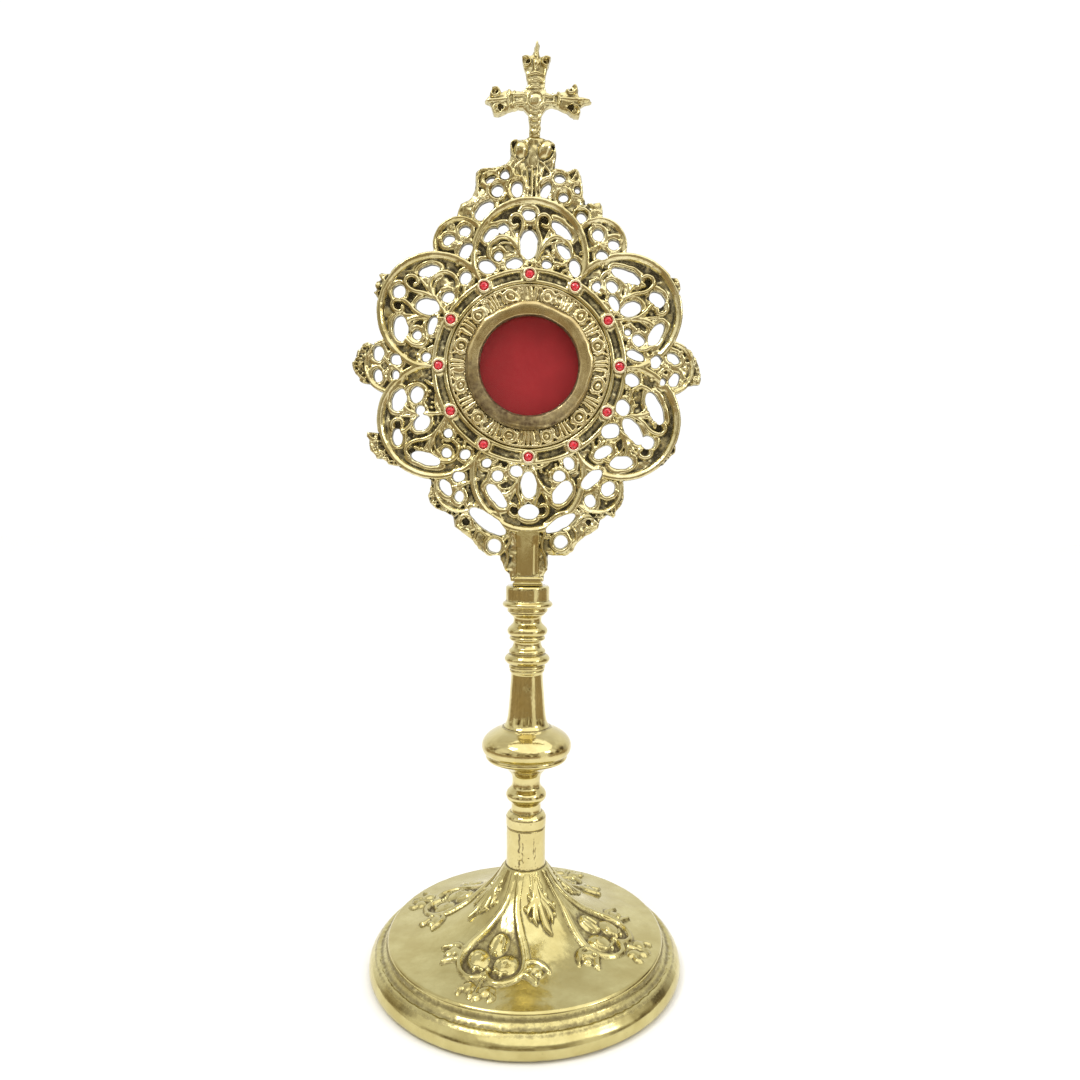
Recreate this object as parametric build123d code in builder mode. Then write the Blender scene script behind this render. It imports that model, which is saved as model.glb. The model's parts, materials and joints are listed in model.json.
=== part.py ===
from build123d import *
import math
import os

# Relic monstrance, cast brass, 320 mm tall.
# Frame: millimetres, +Z up, origin on the floor at the centre of the foot.
# The front of the head faces -Y.

# ---- driving dimensions -------------------------------------------------
total_height = 320.0
foot_radius = 54.8          # widest point of the moulded rim
foot_rest_r0 = 50.0         # flat ring the foot stands on
foot_rest_r1 = 53.4
foot_top = 37.0             # where the sleeve sits on the foot's neck
rod_radius = 2.5            # M5 tie rod
bore_radius = 2.6           # clearance bore through the stem castings
rod_bottom = 16.5
rod_top = 142.0
washer_seat = 26.0          # underside of the hub in the foot
washer_thickness = 1.0
nut_height = 4.0
nut_flats = 8.0

z_sleeve = 37.0
z_baluster = 54.2
z_knop = 69.3
z_shaft = 84.6
z_upper = 105.0
z_socket = 125.1
z_socket_top = 134.4
tang_width = 8.2
tang_depth = 6.4
tang_bottom = 129.4

head_z = 210.0              # height of the window's centre
plate_back = 0.8            # Y of the rosette's back face
plate_front = -1.8          # Y of the sunk field in the lobes
rim_front = -3.0            # Y of the lobes' rims
ridge_front = -3.7          # Y of the two ridges of the stone ring
band_back = -2.4
band_front = -4.4
bezel_front = -6.0

large_lobe_pitch = 37.0
large_lobe_radius = 20.4
large_lobe_inner = 18.5
small_lobe_pitch = 47.7
small_lobe_radius = 9.4
small_lobe_inner = 8.1
stone_ring_inner = 28.0
stone_ring_outer = 33.6
stone_pitch = 30.9
stone_count = 12
stone_radius = 1.62
collet_radius = 2.5

tube_outer = 20.5
tube_inner = 18.9
tube_back = 2.9
window_radius = 16.8
band_outer = 27.8
glass_radius = 18.8
glass_thickness = 1.0
lining_radius = 18.2
lining_front = 0.9
lining_thickness = 0.6
card_back = 2.95
door_front = 2.95
door_back = 4.1
door_radius = 20.6
hinge_x = 22.7
hinge_y = 3.5
knuckle_radius = 1.3
pin_radius = 0.6

os.makedirs("parts", exist_ok=True)


def ring_points(count, radius, start_deg):
    """Points on a circle about the window's centre, in the head's plane."""
    return [
        (
            radius * math.cos(math.radians(start_deg + i * 360.0 / count)),
            head_z + radius * math.sin(math.radians(start_deg + i * 360.0 / count)),
        )
        for i in range(count)
    ]


# ---- foot ---------------------------------------------------------------
# Hollow casting: moulded rim, low plate, trumpet centre with a hub for the rod.
with BuildPart() as foot:
    with BuildSketch(Plane.XZ):
        with BuildLine():
            Line((foot_rest_r0, 0), (foot_rest_r1, 0))
            Spline((foot_rest_r1, 0), (54.6, 1.3), (foot_radius, 3.0), (54.2, 5.0), (52.7, 6.9))
            Spline((52.7, 6.9), (51.8, 7.55), (50.9, 7.35), (50.2, 7.7))
            Spline((50.2, 7.7), (49.1, 8.6), (48.6, 9.7), (48.55, 10.9))
            Line((48.55, 10.9), (47.9, 11.6))
            Spline(
                (47.9, 11.6), (40, 12.7), (33, 14.3), (26, 16.9), (20, 20.2),
                (15, 24.6), (11.6, 29.0), (9.4, 33.2), (8.2, 35.6),
                tangents=((-1.0, 0.09), (-0.35, 1.0)),
            )
            Line((8.2, 35.6), (7.3, foot_top))
            Line((7.3, foot_top), (bore_radius, foot_top))
            Line((bore_radius, foot_top), (bore_radius, washer_seat))
            Line((bore_radius, washer_seat), (7.6, washer_seat))
            Spline(
                (7.6, washer_seat), (12.6, 22.0), (18.0, 17.9), (25, 14.2), (33, 11.6),
                (40, 10.2), (45.6, 9.2),
            )
            Line((45.6, 9.2), (46.6, 8.2))
            Line((46.6, 8.2), (foot_rest_r0, 0))
        make_face()
    revolve(axis=Axis.Z)
foot.part.label = "foot"
export_step(foot.part, "parts/foot.step")

# ---- tie rod, washer and nut --------------------------------------------
with BuildPart() as tie_rod:
    with BuildSketch(Plane.XY.offset(rod_bottom)):
        Circle(rod_radius)
    extrude(amount=rod_top - rod_bottom)
    chamfer(tie_rod.edges().filter_by(GeomType.CIRCLE), 0.5)
tie_rod.part.label = "tie_rod"
export_step(tie_rod.part, "parts/tie_rod.step")

with BuildPart() as rod_washer:
    with BuildSketch(Plane.XY.offset(washer_seat - washer_thickness)):
        Circle(5.0)
        Circle(bore_radius, mode=Mode.SUBTRACT)
    extrude(amount=washer_thickness)
rod_washer.part.label = "rod_washer"
export_step(rod_washer.part, "parts/rod_washer.step")

with BuildPart() as rod_nut:
    with BuildSketch(Plane.XY.offset(washer_seat - washer_thickness - nut_height)):
        RegularPolygon(radius=nut_flats / 2, side_count=6, major_radius=False)
        Circle(rod_radius, mode=Mode.SUBTRACT)
    extrude(amount=nut_height)
rod_nut.part.label = "rod_nut"
export_step(rod_nut.part, "parts/rod_nut.step")

# ---- stem castings, from the foot up ------------------------------------
with BuildPart() as lower_sleeve:
    with BuildSketch(Plane.XZ):
        with BuildLine():
            Line((bore_radius, z_sleeve), (7.0, z_sleeve))
            Spline((7.0, z_sleeve), (6.95, 39.5), (7.15, 42.5), (7.25, 46.6))
            Line((7.25, 46.6), (6.95, 46.9))
            Line((6.95, 46.9), (7.3, 47.2))
            Line((7.3, 47.2), (7.35, 52.3))
            Spline((7.35, 52.3), (7.1, 53.1), (6.5, 53.8), (6.1, z_baluster))
            Line((6.1, z_baluster), (bore_radius, z_baluster))
            Line((bore_radius, z_baluster), (bore_radius, z_sleeve))
        make_face()
    revolve(axis=Axis.Z)
lower_sleeve.part.label = "lower_sleeve"
export_step(lower_sleeve.part, "parts/lower_sleeve.step")

with BuildPart() as lower_baluster:
    with BuildSketch(Plane.XZ):
        with BuildLine():
            Line((bore_radius, z_baluster), (5.4, z_baluster))
            Spline((5.4, z_baluster), (5.22, 55.6), (5.4, 57.2), (6.1, 58.1))
            Spline((6.1, 58.1), (6.85, 58.9), (7.17, 60.1), (6.8, 61.3), (6.0, 62.2))
            Spline((6.0, 62.2), (5.2, 63.2), (4.94, 65.0), (5.2, 67.0), (5.9, 68.2), (6.8, z_knop))
            Line((6.8, z_knop), (bore_radius, z_knop))
            Line((bore_radius, z_knop), (bore_radius, z_baluster))
        make_face()
    revolve(axis=Axis.Z)
lower_baluster.part.label = "lower_baluster"
export_step(lower_baluster.part, "parts/lower_baluster.step")

with BuildPart() as knop:
    with BuildSketch(Plane.XZ):
        with BuildLine():
            Line((bore_radius, z_knop), (6.9, z_knop))
            Spline((6.9, z_knop), (8.3, 70.6), (11.2, 72.1), (13.7, 73.7), (15.0, 75.1))
            Line((15.0, 75.1), (15.05, 75.5))
            Spline((15.05, 75.5), (15.7, 76.8), (15.85, 78.0), (15.55, 79.2), (15.0, 80.4))
            Line((15.0, 80.4), (14.8, 80.8))
            Spline((14.8, 80.8), (13.6, 82.1), (11.6, 83.2), (9.6, 83.9), (8.5, z_shaft))
            Line((8.5, z_shaft), (bore_radius, z_shaft))
            Line((bore_radius, z_shaft), (bore_radius, z_knop))
        make_face()
    revolve(axis=Axis.Z)
knop.part.label = "knop"
export_step(knop.part, "parts/knop.step")

with BuildPart() as conical_shaft:
    with BuildSketch(Plane.XZ):
        with BuildLine():
            Line((bore_radius, z_shaft), (8.2, z_shaft))
            Spline((8.2, z_shaft), (7.3, 86.0), (6.75, 88.2), (6.35, 92.0), (6.0, 97.0), (5.7, 100.5), (5.55, 103.4))
            Line((5.55, 103.4), (6.1, 104.2))
            Line((6.1, 104.2), (6.15, z_upper))
            Line((6.15, z_upper), (bore_radius, z_upper))
            Line((bore_radius, z_upper), (bore_radius, z_shaft))
        make_face()
    revolve(axis=Axis.Z)
conical_shaft.part.label = "conical_shaft"
export_step(conical_shaft.part, "parts/conical_shaft.step")

with BuildPart() as upper_baluster:
    with BuildSketch(Plane.XZ):
        with BuildLine():
            Line((bore_radius, z_upper), (6.1, z_upper))
            Line((6.1, z_upper), (6.35, 105.9))
            Spline((6.35, 105.9), (7.45, 106.8), (8.0, 108.0), (7.5, 109.3), (6.75, 110.0))
            Spline((6.75, 110.0), (6.75, 110.9), (6.3, 112.0), (5.3, 112.9))
            Spline((5.3, 112.9), (5.05, 114.0), (5.25, 115.1), (5.9, 115.9))
            Spline((5.9, 115.9), (6.6, 116.8), (7.02, 118.4), (6.6, 119.6), (5.7, 120.5))
            Spline((5.7, 120.5), (4.95, 121.4), (4.78, 122.7), (5.1, 123.8), (6.1, 124.5))
            Line((6.1, 124.5), (6.4, z_socket))
            Line((6.4, z_socket), (bore_radius, z_socket))
            Line((bore_radius, z_socket), (bore_radius, z_upper))
        make_face()
    revolve(axis=Axis.Z)
upper_baluster.part.label = "upper_baluster"
export_step(upper_baluster.part, "parts/upper_baluster.step")

# Collar with a square pocket that takes the head's tang.
with BuildPart() as head_socket:
    with BuildSketch(Plane.XZ):
        with BuildLine():
            Line((bore_radius, z_socket), (6.9, z_socket))
            Spline((6.9, z_socket), (8.0, 126.3), (8.78, 127.6), (8.5, 128.6), (7.75, 129.1))
            Line((7.75, 129.1), (7.62, 129.5))
            Line((7.62, 129.5), (7.62, 133.9))
            Line((7.62, 133.9), (7.2, z_socket_top))
            Line((7.2, z_socket_top), (bore_radius, z_socket_top))
            Line((bore_radius, z_socket_top), (bore_radius, z_socket))
        make_face()
    revolve(axis=Axis.Z)
    with BuildSketch(Plane.XY.offset(tang_bottom)):
        Rectangle(tang_width + 0.1, tang_depth + 0.1)
    extrude(amount=10.0, mode=Mode.SUBTRACT)
head_socket.part.label = "head_socket"
export_step(head_socket.part, "parts/head_socket.step")

# ---- rosette ------------------------------------------------------------
# Pierced openings of the lace: centre x, z, half axes and turn of the long axis.
piercings = [
    (-8.7, 274.9, 1.60, 1.56, -177), (9.9, 273.5, 1.77, 1.50, 165), (-13.6, 272.9, 1.53, 1.11, -146),
    (-4.6, 270.0, 2.67, 1.96, 89), (16.0, 269.9, 1.15, 1.06, 113), (5.3, 269.6, 2.86, 1.56, 67),
    (-11.2, 269.5, 2.14, 1.90, 67), (11.3, 267.2, 1.71, 1.45, -172), (-15.6, 262.9, 3.89, 2.35, 47),
    (-0.4, 261.6, 2.24, 1.91, 169), (17.4, 260.6, 1.73, 1.60, 102), (-9.2, 256.8, 1.76, 1.61, 162),
    (10.8, 256.3, 4.46, 1.85, 138), (-22.3, 255.7, 1.93, 1.76, 56), (23.2, 254.8, 2.23, 1.88, 103),
    (-13.4, 254.7, 3.05, 1.72, -136), (-27.6, 252.9, 2.06, 1.66, -151), (28.5, 251.7, 2.01, 1.86, 142),
    (-0.5, 251.6, 5.16, 3.03, 86), (-21.8, 249.3, 2.93, 1.91, 55), (11.6, 249.3, 3.14, 1.60, 131),
    (24.7, 247.9, 2.05, 1.74, 178), (-10.9, 247.6, 1.69, 1.57, 70), (-5.3, 245.0, 2.97, 1.96, -176),
    (5.7, 244.7, 1.68, 1.62, -157), (-14.5, 244.0, 2.99, 2.12, 155), (15.4, 243.6, 2.93, 1.76, 102),
    (-34.4, 242.4, 3.69, 1.98, -168), (33.0, 241.2, 5.43, 2.22, 158), (-22.1, 240.3, 2.22, 1.80, 78),
    (28.2, 237.6, 2.23, 1.81, 118), (22.9, 237.5, 1.75, 1.57, 78), (-44.8, 235.3, 2.47, 2.11, 79),
    (-27.9, 233.6, 2.17, 1.93, -144), (43.7, 233.4, 3.10, 2.38, 135), (29.0, 231.8, 2.93, 1.58, 105),
    (-34.9, 230.5, 4.14, 2.67, 170), (34.8, 230.1, 3.75, 2.48, -158), (-33.3, 224.1, 3.05, 1.55, 73),
    (-44.2, 223.0, 4.32, 2.53, 93), (33.8, 222.2, 1.23, 1.16, -152), (43.5, 221.5, 4.38, 2.03, 60),
    (-38.6, 220.7, 1.68, 1.54, 91), (37.5, 219.5, 2.11, 1.90, 155), (36.6, 214.3, 3.06, 1.54, 155),
    (-51.9, 214.2, 2.56, 1.88, 91), (49.7, 213.3, 2.40, 1.62, 140), (-35.5, 213.2, 1.61, 1.54, 64),
    (-45.9, 212.3, 2.00, 1.82, 149), (43.6, 212.1, 2.11, 1.86, 71), (-45.9, 206.9, 1.66, 1.32, 112),
    (-52.0, 206.7, 2.29, 1.45, 98), (50.0, 206.1, 2.56, 1.60, 65), (35.5, 205.9, 2.58, 2.17, 136),
    (46.0, 205.3, 1.20, 1.04, 91), (-38.7, 200.4, 2.79, 2.28, 70), (-44.8, 198.4, 3.92, 2.45, 73),
    (32.5, 196.3, 2.86, 2.42, 85), (43.5, 196.2, 5.93, 2.41, 112), (-37.5, 195.1, 1.65, 1.58, -166),
    (-36.9, 190.7, 2.96, 2.41, 46), (28.2, 188.4, 3.3, 2.5, 20), (36.0, 188.4, 5.2, 2.6, 125),
    (41.2, 184.6, 2.2, 2.2, 0), (-27.9, 187.2, 1.66, 1.57, 157), (-45.4, 185.7, 2.83, 1.82, 95),
    (25.7, 180.9, 3.36, 1.82, -149), (-28.5, 180.4, 1.63, 1.59, 161), (-22.0, 179.9, 1.86, 1.59, -163),
    (-35.6, 178.5, 5.41, 1.99, 165), (32.2, 177.6, 4.04, 2.20, -173), (14.0, 177.1, 2.27, 1.73, 124),
    (-14.5, 177.1, 1.76, 1.59, -156), (-4.2, 174.3, 2.22, 1.95, 163), (-10.7, 172.7, 1.83, 1.76, 128),
    (10.7, 172.7, 2.10, 1.81, -157), (-24.2, 172.3, 1.97, 1.73, -160), (21.9, 171.7, 4.47, 2.16, -139),
    (0.1, 169.6, 4.58, 2.72, 93), (-28.7, 168.5, 3.13, 1.65, 120), (27.7, 168.4, 2.63, 2.12, 55),
    (11.8, 167.0, 4.52, 2.65, 53), (-11.0, 165.7, 5.00, 2.01, 128), (-23.9, 165.4, 1.83, 1.70, 95),
    (21.5, 164.2, 2.15, 1.85, 115), (0.2, 160.3, 3.56, 2.53, -177), (-14.1, 156.8, 7.39, 2.62, 145),
    (11.3, 156.3, 5.75, 2.03, -150), (11.4, 149.9, 2.31, 2.15, -158), (-11.6, 148.3, 2.37, 2.13, 124),
]

# Scroll clusters and leaf finial above the top lobe.
crown_outline = [
    (-26.5, 260.0), (-25.0, 261.0), (-24.6, 263.2), (-23.8, 265.2), (-21.2, 266.2), (-19.6, 268.0),
    (-18.8, 271.0), (-18.9, 275.6), (-16.5, 277.1), (-12, 277.0), (-8.6, 278.4), (-7.1, 280.0),
    (-7.1, 285.4), (-5.2, 286.4), (-1.8, 286.6), (-0.8, 287.6), (3.0, 287.6), (4.6, 287.0),
    (8.4, 284.8), (8.8, 282.0), (8.2, 277.0), (12, 276.1), (15.6, 277.2), (17.3, 274.6),
    (17.8, 270.6), (18.2, 267.4), (19.0, 265.6), (20.6, 265.3), (23.8, 266.0), (24.8, 264.6),
    (24.8, 261.0), (26.6, 260.0), (0, 246),
]
# Scrolls either side of the tang, below the bottom lobe.
skirt_outline = [
    (-30.5, 160.8), (-26.2, 158.4), (-25.6, 155.0), (-23.6, 153.4), (-19.8, 150.6), (-17.2, 147.2),
    (-14.4, 144.9), (-10.0, 144.8), (-8.9, 142.0), (-8.2, 140.0), (-6.3, 138.4), (-5.9, 136.0),
    (5.5, 136.0), (5.7, 138.4), (7.0, 140.2), (7.1, 145.2), (13.2, 144.9), (15.6, 146.6),
    (17.2, 149.6), (19.2, 151.0), (24.4, 154.4), (25.0, 157.4), (28.4, 159.8), (24, 170), (-24, 170),
]
# Leaf crests outside the lobes, each overlapping the rim behind it.
crests = [
    [
        (-48.0, 231.0), (-51.3, 231.5), (-52.8, 233.6), (-53.7, 235.0), (-52.6, 236.2), (-53.2, 237.4),
        (-52.6, 239.0), (-51.2, 239.5), (-51.8, 241.0), (-51.0, 242.0), (-49.5, 241.5), (-46.0, 241.6),
    ],
    [
        (-52.0, 217.0), (-55.6, 218.3), (-57.4, 217.7), (-58.2, 216.0), (-59.9, 215.0), (-59.7, 213.2),
        (-61.1, 211.2), (-60.9, 208.9), (-59.8, 207.0), (-58.6, 206.0), (-58.8, 204.8), (-57.2, 204.0),
        (-55.0, 203.8), (-52.0, 202.4),
    ],
    [
        (-49.0, 186.8), (-53.2, 187.4), (-55.9, 187.6), (-56.2, 186.0), (-55.2, 184.6), (-55.6, 183.4),
        (-54.8, 181.0), (-53.2, 179.4), (-52.6, 178.4), (-50.2, 177.8), (-48.8, 176.4), (-46.0, 175.6),
        (-43.8, 175.4), (-41.0, 176.6), (-44.0, 182.0),
    ],
    [
        (45.0, 240.6), (47.2, 240.9), (50.6, 240.9), (51.5, 239.0), (52.0, 237.0), (51.4, 235.6),
        (51.0, 233.8), (50.6, 230.8), (47.6, 230.6),
    ],
    [
        (52.0, 217.4), (55.5, 216.6), (57.0, 214.4), (58.2, 212.0), (59.2, 209.0), (59.5, 206.4),
        (58.8, 204.4), (57.0, 204.2), (54.0, 203.6), (52.0, 202.2),
    ],
    [
        (47.6, 186.0), (50.6, 184.6), (51.2, 182.6), (50.8, 180.8), (49.6, 180.0), (48.4, 178.6),
        (46.6, 176.6), (44.4, 176.2), (41.8, 175.4), (39.0, 176.6), (43.0, 182.0),
    ],
    [
        (-31.0, 172.5), (-33.8, 172.4), (-34.0, 169.0), (-34.9, 165.6), (-34.2, 163.0), (-32.2, 161.0),
        (-30.0, 160.2), (-28.0, 160.0), (-26.4, 158.6), (-25.6, 156.8), (-22.0, 161.0), (-28.0, 166.0),
    ],
    [
        (31.0, 172.0), (33.1, 172.0), (33.4, 168.0), (33.2, 164.6), (32.0, 162.0), (30.4, 160.3),
        (30.7, 159.2), (29.6, 158.2), (28.4, 159.0), (26.8, 159.4), (25.2, 158.2), (24.8, 156.2),
        (21.0, 160.0), (27.0, 164.0),
    ],
]

large_lobes = ring_points(6, large_lobe_pitch, 90)
small_lobes = ring_points(6, small_lobe_pitch, 60)

with BuildPart() as rosette:
    # pierced field
    with BuildSketch(Plane.XZ.offset(-plate_back)):
        with Locations((0, head_z)):
            Circle(stone_ring_outer)
        with Locations(*large_lobes):
            Circle(large_lobe_radius)
        with Locations(*small_lobes):
            Circle(small_lobe_radius)
        with BuildLine():
            Polyline(*crown_outline, close=True)
        make_face()
        with BuildLine():
            Polyline(*skirt_outline, close=True)
        make_face()
        for crest in crests:
            with BuildLine():
                Polyline(*crest, close=True)
            make_face()
        with Locations((0, head_z)):
            Circle(tube_outer + 0.05, mode=Mode.SUBTRACT)
        for hole_x, hole_z, half_a, half_b, turn in piercings:
            with Locations((hole_x, hole_z)):
                Ellipse(half_a, half_b, rotation=turn, mode=Mode.SUBTRACT)
    extrude(amount=plate_back - plate_front)
    # lobe rims
    with BuildSketch(Plane.XZ.offset(-plate_front)):
        with Locations(*large_lobes):
            Circle(large_lobe_radius)
        with Locations(*small_lobes):
            Circle(small_lobe_radius)
        with Locations(*large_lobes):
            Circle(large_lobe_inner, mode=Mode.SUBTRACT)
        with Locations(*small_lobes):
            Circle(small_lobe_inner, mode=Mode.SUBTRACT)
        with Locations((0, head_z)):
            Circle(stone_ring_outer, mode=Mode.SUBTRACT)
        for hole_x, hole_z, half_a, half_b, turn in piercings:
            with Locations((hole_x, hole_z)):
                Ellipse(half_a, half_b, rotation=turn, mode=Mode.SUBTRACT)
    extrude(amount=plate_front - rim_front)
    # seat of the gadroon band and floor of the stone ring
    with BuildSketch(Plane.XZ.offset(-plate_front)):
        with Locations((0, head_z)):
            Circle(stone_ring_outer)
            Circle(tube_outer + 0.05, mode=Mode.SUBTRACT)
    extrude(amount=plate_front - band_back)
    # two ridges of the stone ring
    with BuildSketch(Plane.XZ.offset(-band_back)):
        with Locations((0, head_z)):
            Circle(stone_ring_outer)
            Circle(stone_ring_outer - 1.3, mode=Mode.SUBTRACT)
            Circle(stone_ring_inner + 1.3)
            Circle(stone_ring_inner, mode=Mode.SUBTRACT)
        with Locations(*ring_points(stone_count, stone_pitch, 90)):
            Circle(collet_radius + 0.02, mode=Mode.SUBTRACT)
    extrude(amount=band_back - ridge_front)
    # square tang, drilled from below for the tie rod
    with BuildSketch(Plane.XY.offset(tang_bottom)):
        Rectangle(tang_width, tang_depth)
    extrude(amount=154.6 - tang_bottom)
    with BuildSketch(Plane.XY.offset(z_socket_top)):
        Rectangle(10.6, 8.4)
    extrude(amount=1.6)
    with BuildSketch(Plane.XY.offset(tang_bottom)):
        Circle(rod_radius)
    extrude(amount=rod_top - tang_bottom + 0.5, mode=Mode.SUBTRACT)
    # peg hole for the cross
    with BuildSketch(Plane.XY.offset(282.0)):
        with Locations((1.1, -0.5)):
            Circle(0.95)
    extrude(amount=8.0, mode=Mode.SUBTRACT)
rosette.part.label = "rosette"
export_step(rosette.part, "parts/rosette.step")

# ---- cross --------------------------------------------------------------
cross_x = 1.2
cross_z = 299.4
with BuildPart() as cross:
    with BuildSketch(Plane.XZ.offset(-0.6)):
        with Locations((cross_x, cross_z)):
            Circle(3.4)
        with BuildLine():
            Polyline(
                (cross_x - 1.7, 287.6), (cross_x + 1.9, 287.6), (cross_x + 2.6, 295.6), (cross_x + 5.2, 298.0),
                (cross_x + 9.6, 297.0), (cross_x + 14.2, 294.4), (cross_x + 15.4, 297.2), (cross_x + 18.2, 299.4),
                (cross_x + 15.0, 301.2), (cross_x + 14.0, 304.4), (cross_x + 9.6, 302.4), (cross_x + 5.0, 301.4),
                (cross_x + 2.6, 303.4), (cross_x + 3.4, 310.0), (cross_x + 5.2, 314.2), (cross_x + 2.0, 314.8),
                (cross_x + 1.2, 318.9), (cross_x + 0.5, total_height), (cross_x - 0.2, 318.9), (cross_x - 1.2, 314.8),
                (cross_x - 4.6, 313.6), (cross_x - 3.4, 310.0), (cross_x - 2.6, 303.4), (cross_x - 5.0, 302.6),
                (cross_x - 9.6, 302.8), (cross_x - 13.4, 303.8), (cross_x - 15.0, 301.2), (cross_x - 17.2, 299.0),
                (cross_x - 14.6, 296.8), (cross_x - 13.0, 294.6), (cross_x - 9.6, 295.2), (cross_x - 4.6, 297.0),
                (cross_x - 2.4, 295.4), close=True,
            )
        make_face()
    extrude(amount=3.0)
    with BuildSketch(Plane.XY.offset(282.6)):
        with Locations((1.1, -0.5)):
            Circle(0.9)
    extrude(amount=6.0)
cross.part.label = "cross"
export_step(cross.part, "parts/cross.step")

# ---- stones and their cups ----------------------------------------------
stone_points = ring_points(stone_count, stone_pitch, 90)
with BuildPart() as gem_collets:
    with BuildSketch(Plane.XZ.offset(-band_back)):
        with Locations(*stone_points):
            Circle(collet_radius)
    extrude(amount=2.5)
    with BuildSketch(Plane.XZ.offset(-band_back + 1.3)):
        with Locations(*stone_points):
            Circle(stone_radius + 0.03)
    extrude(amount=2.0, mode=Mode.SUBTRACT)
gem_collets.part.label = "gem_collets"
export_step(gem_collets.part, "parts/gem_collets.step")

with BuildPart() as gem_stones:
    with BuildSketch(Plane.XZ.offset(-band_back + 1.3)):
        with Locations(*stone_points):
            Circle(stone_radius)
    extrude(amount=1.5)
    chamfer(gem_stones.edges().group_by(Axis.Y)[0], 0.5)
gem_stones.part.label = "gem_stones"
export_step(gem_stones.part, "parts/gem_stones.step")

# ---- band, bezel, glass and capsule -------------------------------------
# Each ring is turned about the head's own axis, which runs along Y through the window's centre.
head_axis = Axis((0, 0, head_z), (0, 1, 0))

with BuildPart() as gadroon_band:
    with BuildSketch(Plane.YZ):
        with BuildLine():
            Line((band_back, head_z + tube_outer + 0.05), (band_back, head_z + band_outer))
            Spline(
                (band_back, head_z + band_outer), (-3.5, head_z + 27.2), (-4.15, head_z + 25.2), (band_front, head_z + 23.0),
            )
            Line((band_front, head_z + 23.0), (band_front, head_z + tube_outer + 0.05))
            Line((band_front, head_z + tube_outer + 0.05), (band_back, head_z + tube_outer + 0.05))
        make_face()
    revolve(axis=head_axis)
gadroon_band.part.label = "gadroon_band"
export_step(gadroon_band.part, "parts/gadroon_band.step")

with BuildPart() as bezel:
    with BuildSketch(Plane.YZ):
        with BuildLine():
            Line((band_front, head_z + window_radius), (band_front, head_z + 21.85))
            Spline(
                (band_front, head_z + 21.85), (-5.2, head_z + 21.5), (-5.8, head_z + 20.6), (bezel_front, head_z + 19.6),
                (-5.75, head_z + 18.5), (-5.3, head_z + 18.0),
            )
            Line((-5.3, head_z + 18.0), (band_front, head_z + window_radius))
        make_face()
    revolve(axis=head_axis)
bezel.part.label = "bezel"
export_step(bezel.part, "parts/bezel.step")

with BuildPart() as window_glass:
    with BuildSketch(Plane.XZ.offset(-(band_front + glass_thickness))):
        with Locations((0, head_z)):
            Circle(glass_radius)
    extrude(amount=glass_thickness)
window_glass.part.label = "window_glass"
export_step(window_glass.part, "parts/window_glass.step")

# Split spring ring behind the glass.
with BuildPart() as glass_ring:
    with BuildSketch(Plane.XZ.offset(-(band_front + glass_thickness + 0.9))):
        with Locations((0, head_z)):
            Circle(tube_inner)
            Circle(tube_inner - 0.9, mode=Mode.SUBTRACT)
        with Locations((0, head_z - tube_inner)):
            Rectangle(1.6, 4.0, mode=Mode.SUBTRACT)
    extrude(amount=0.9)
glass_ring.part.label = "glass_ring"
export_step(glass_ring.part, "parts/glass_ring.step")

with BuildPart() as capsule_tube:
    with BuildSketch(Plane.XZ.offset(-tube_back)):
        with Locations((0, head_z)):
            Circle(tube_outer)
            Circle(tube_inner, mode=Mode.SUBTRACT)
    extrude(amount=tube_back - band_front)
capsule_tube.part.label = "capsule_tube"
export_step(capsule_tube.part, "parts/capsule_tube.step")

# ---- rear door and its hinge --------------------------------------------
with BuildPart() as rear_door:
    with BuildSketch(Plane.XZ.offset(-door_back)):
        with Locations((0, head_z)):
            Circle(door_radius)
        with Locations((hinge_x / 2 + 9.0, head_z)):
            Rectangle(hinge_x - 18.0, 5.8)
    extrude(amount=door_back - door_front)
    with BuildSketch(Plane.XY.offset(head_z - 2.9)):
        with Locations((hinge_x, hinge_y)):
            Circle(knuckle_radius)
    extrude(amount=5.8)
    with BuildSketch(Plane.XY.offset(head_z - 2.9)):
        with Locations((hinge_x, hinge_y)):
            Circle(pin_radius + 0.05)
    extrude(amount=5.8, mode=Mode.SUBTRACT)
rear_door.part.label = "rear_door"
export_step(rear_door.part, "parts/rear_door.step")

with BuildPart() as hinge_leaf:
    with BuildSketch(Plane.XY.offset(head_z - 6.6)):
        with Locations((hinge_x, hinge_y)):
            Circle(knuckle_radius)
        with Locations((hinge_x - 0.3, 1.85)):
            Rectangle(2.0, 2.1)
    extrude(amount=13.2)
    with BuildSketch(Plane.XY.offset(head_z - 3.0)):
        with Locations((hinge_x, hinge_y)):
            Rectangle(4.0, 3.1)
    extrude(amount=6.0, mode=Mode.SUBTRACT)
    with BuildSketch(Plane.XY.offset(head_z - 7.0)):
        with Locations((hinge_x, hinge_y)):
            Circle(pin_radius)
    extrude(amount=14.0, mode=Mode.SUBTRACT)
    # foot of the leaf, shaped to the tube it is soldered to
    with BuildSketch(Plane.XZ.offset(-1.9)):
        with Locations((21.1, head_z)):
            Rectangle(2.6, 13.2)
        with Locations((0, head_z)):
            Circle(tube_outer, mode=Mode.SUBTRACT)
    extrude(amount=1.1)
hinge_leaf.part.label = "hinge_leaf"
export_step(hinge_leaf.part, "parts/hinge_leaf.step")

with BuildPart() as hinge_pin:
    with BuildSketch(Plane.XY.offset(head_z - 7.2)):
        with Locations((hinge_x, hinge_y)):
            Circle(pin_radius)
    extrude(amount=14.4)
    with BuildSketch(Plane.XY.offset(head_z + 6.6)):
        with Locations((hinge_x, hinge_y)):
            Circle(0.95)
    extrude(amount=0.7)
hinge_pin.part.label = "hinge_pin"
export_step(hinge_pin.part, "parts/hinge_pin.step")

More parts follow.
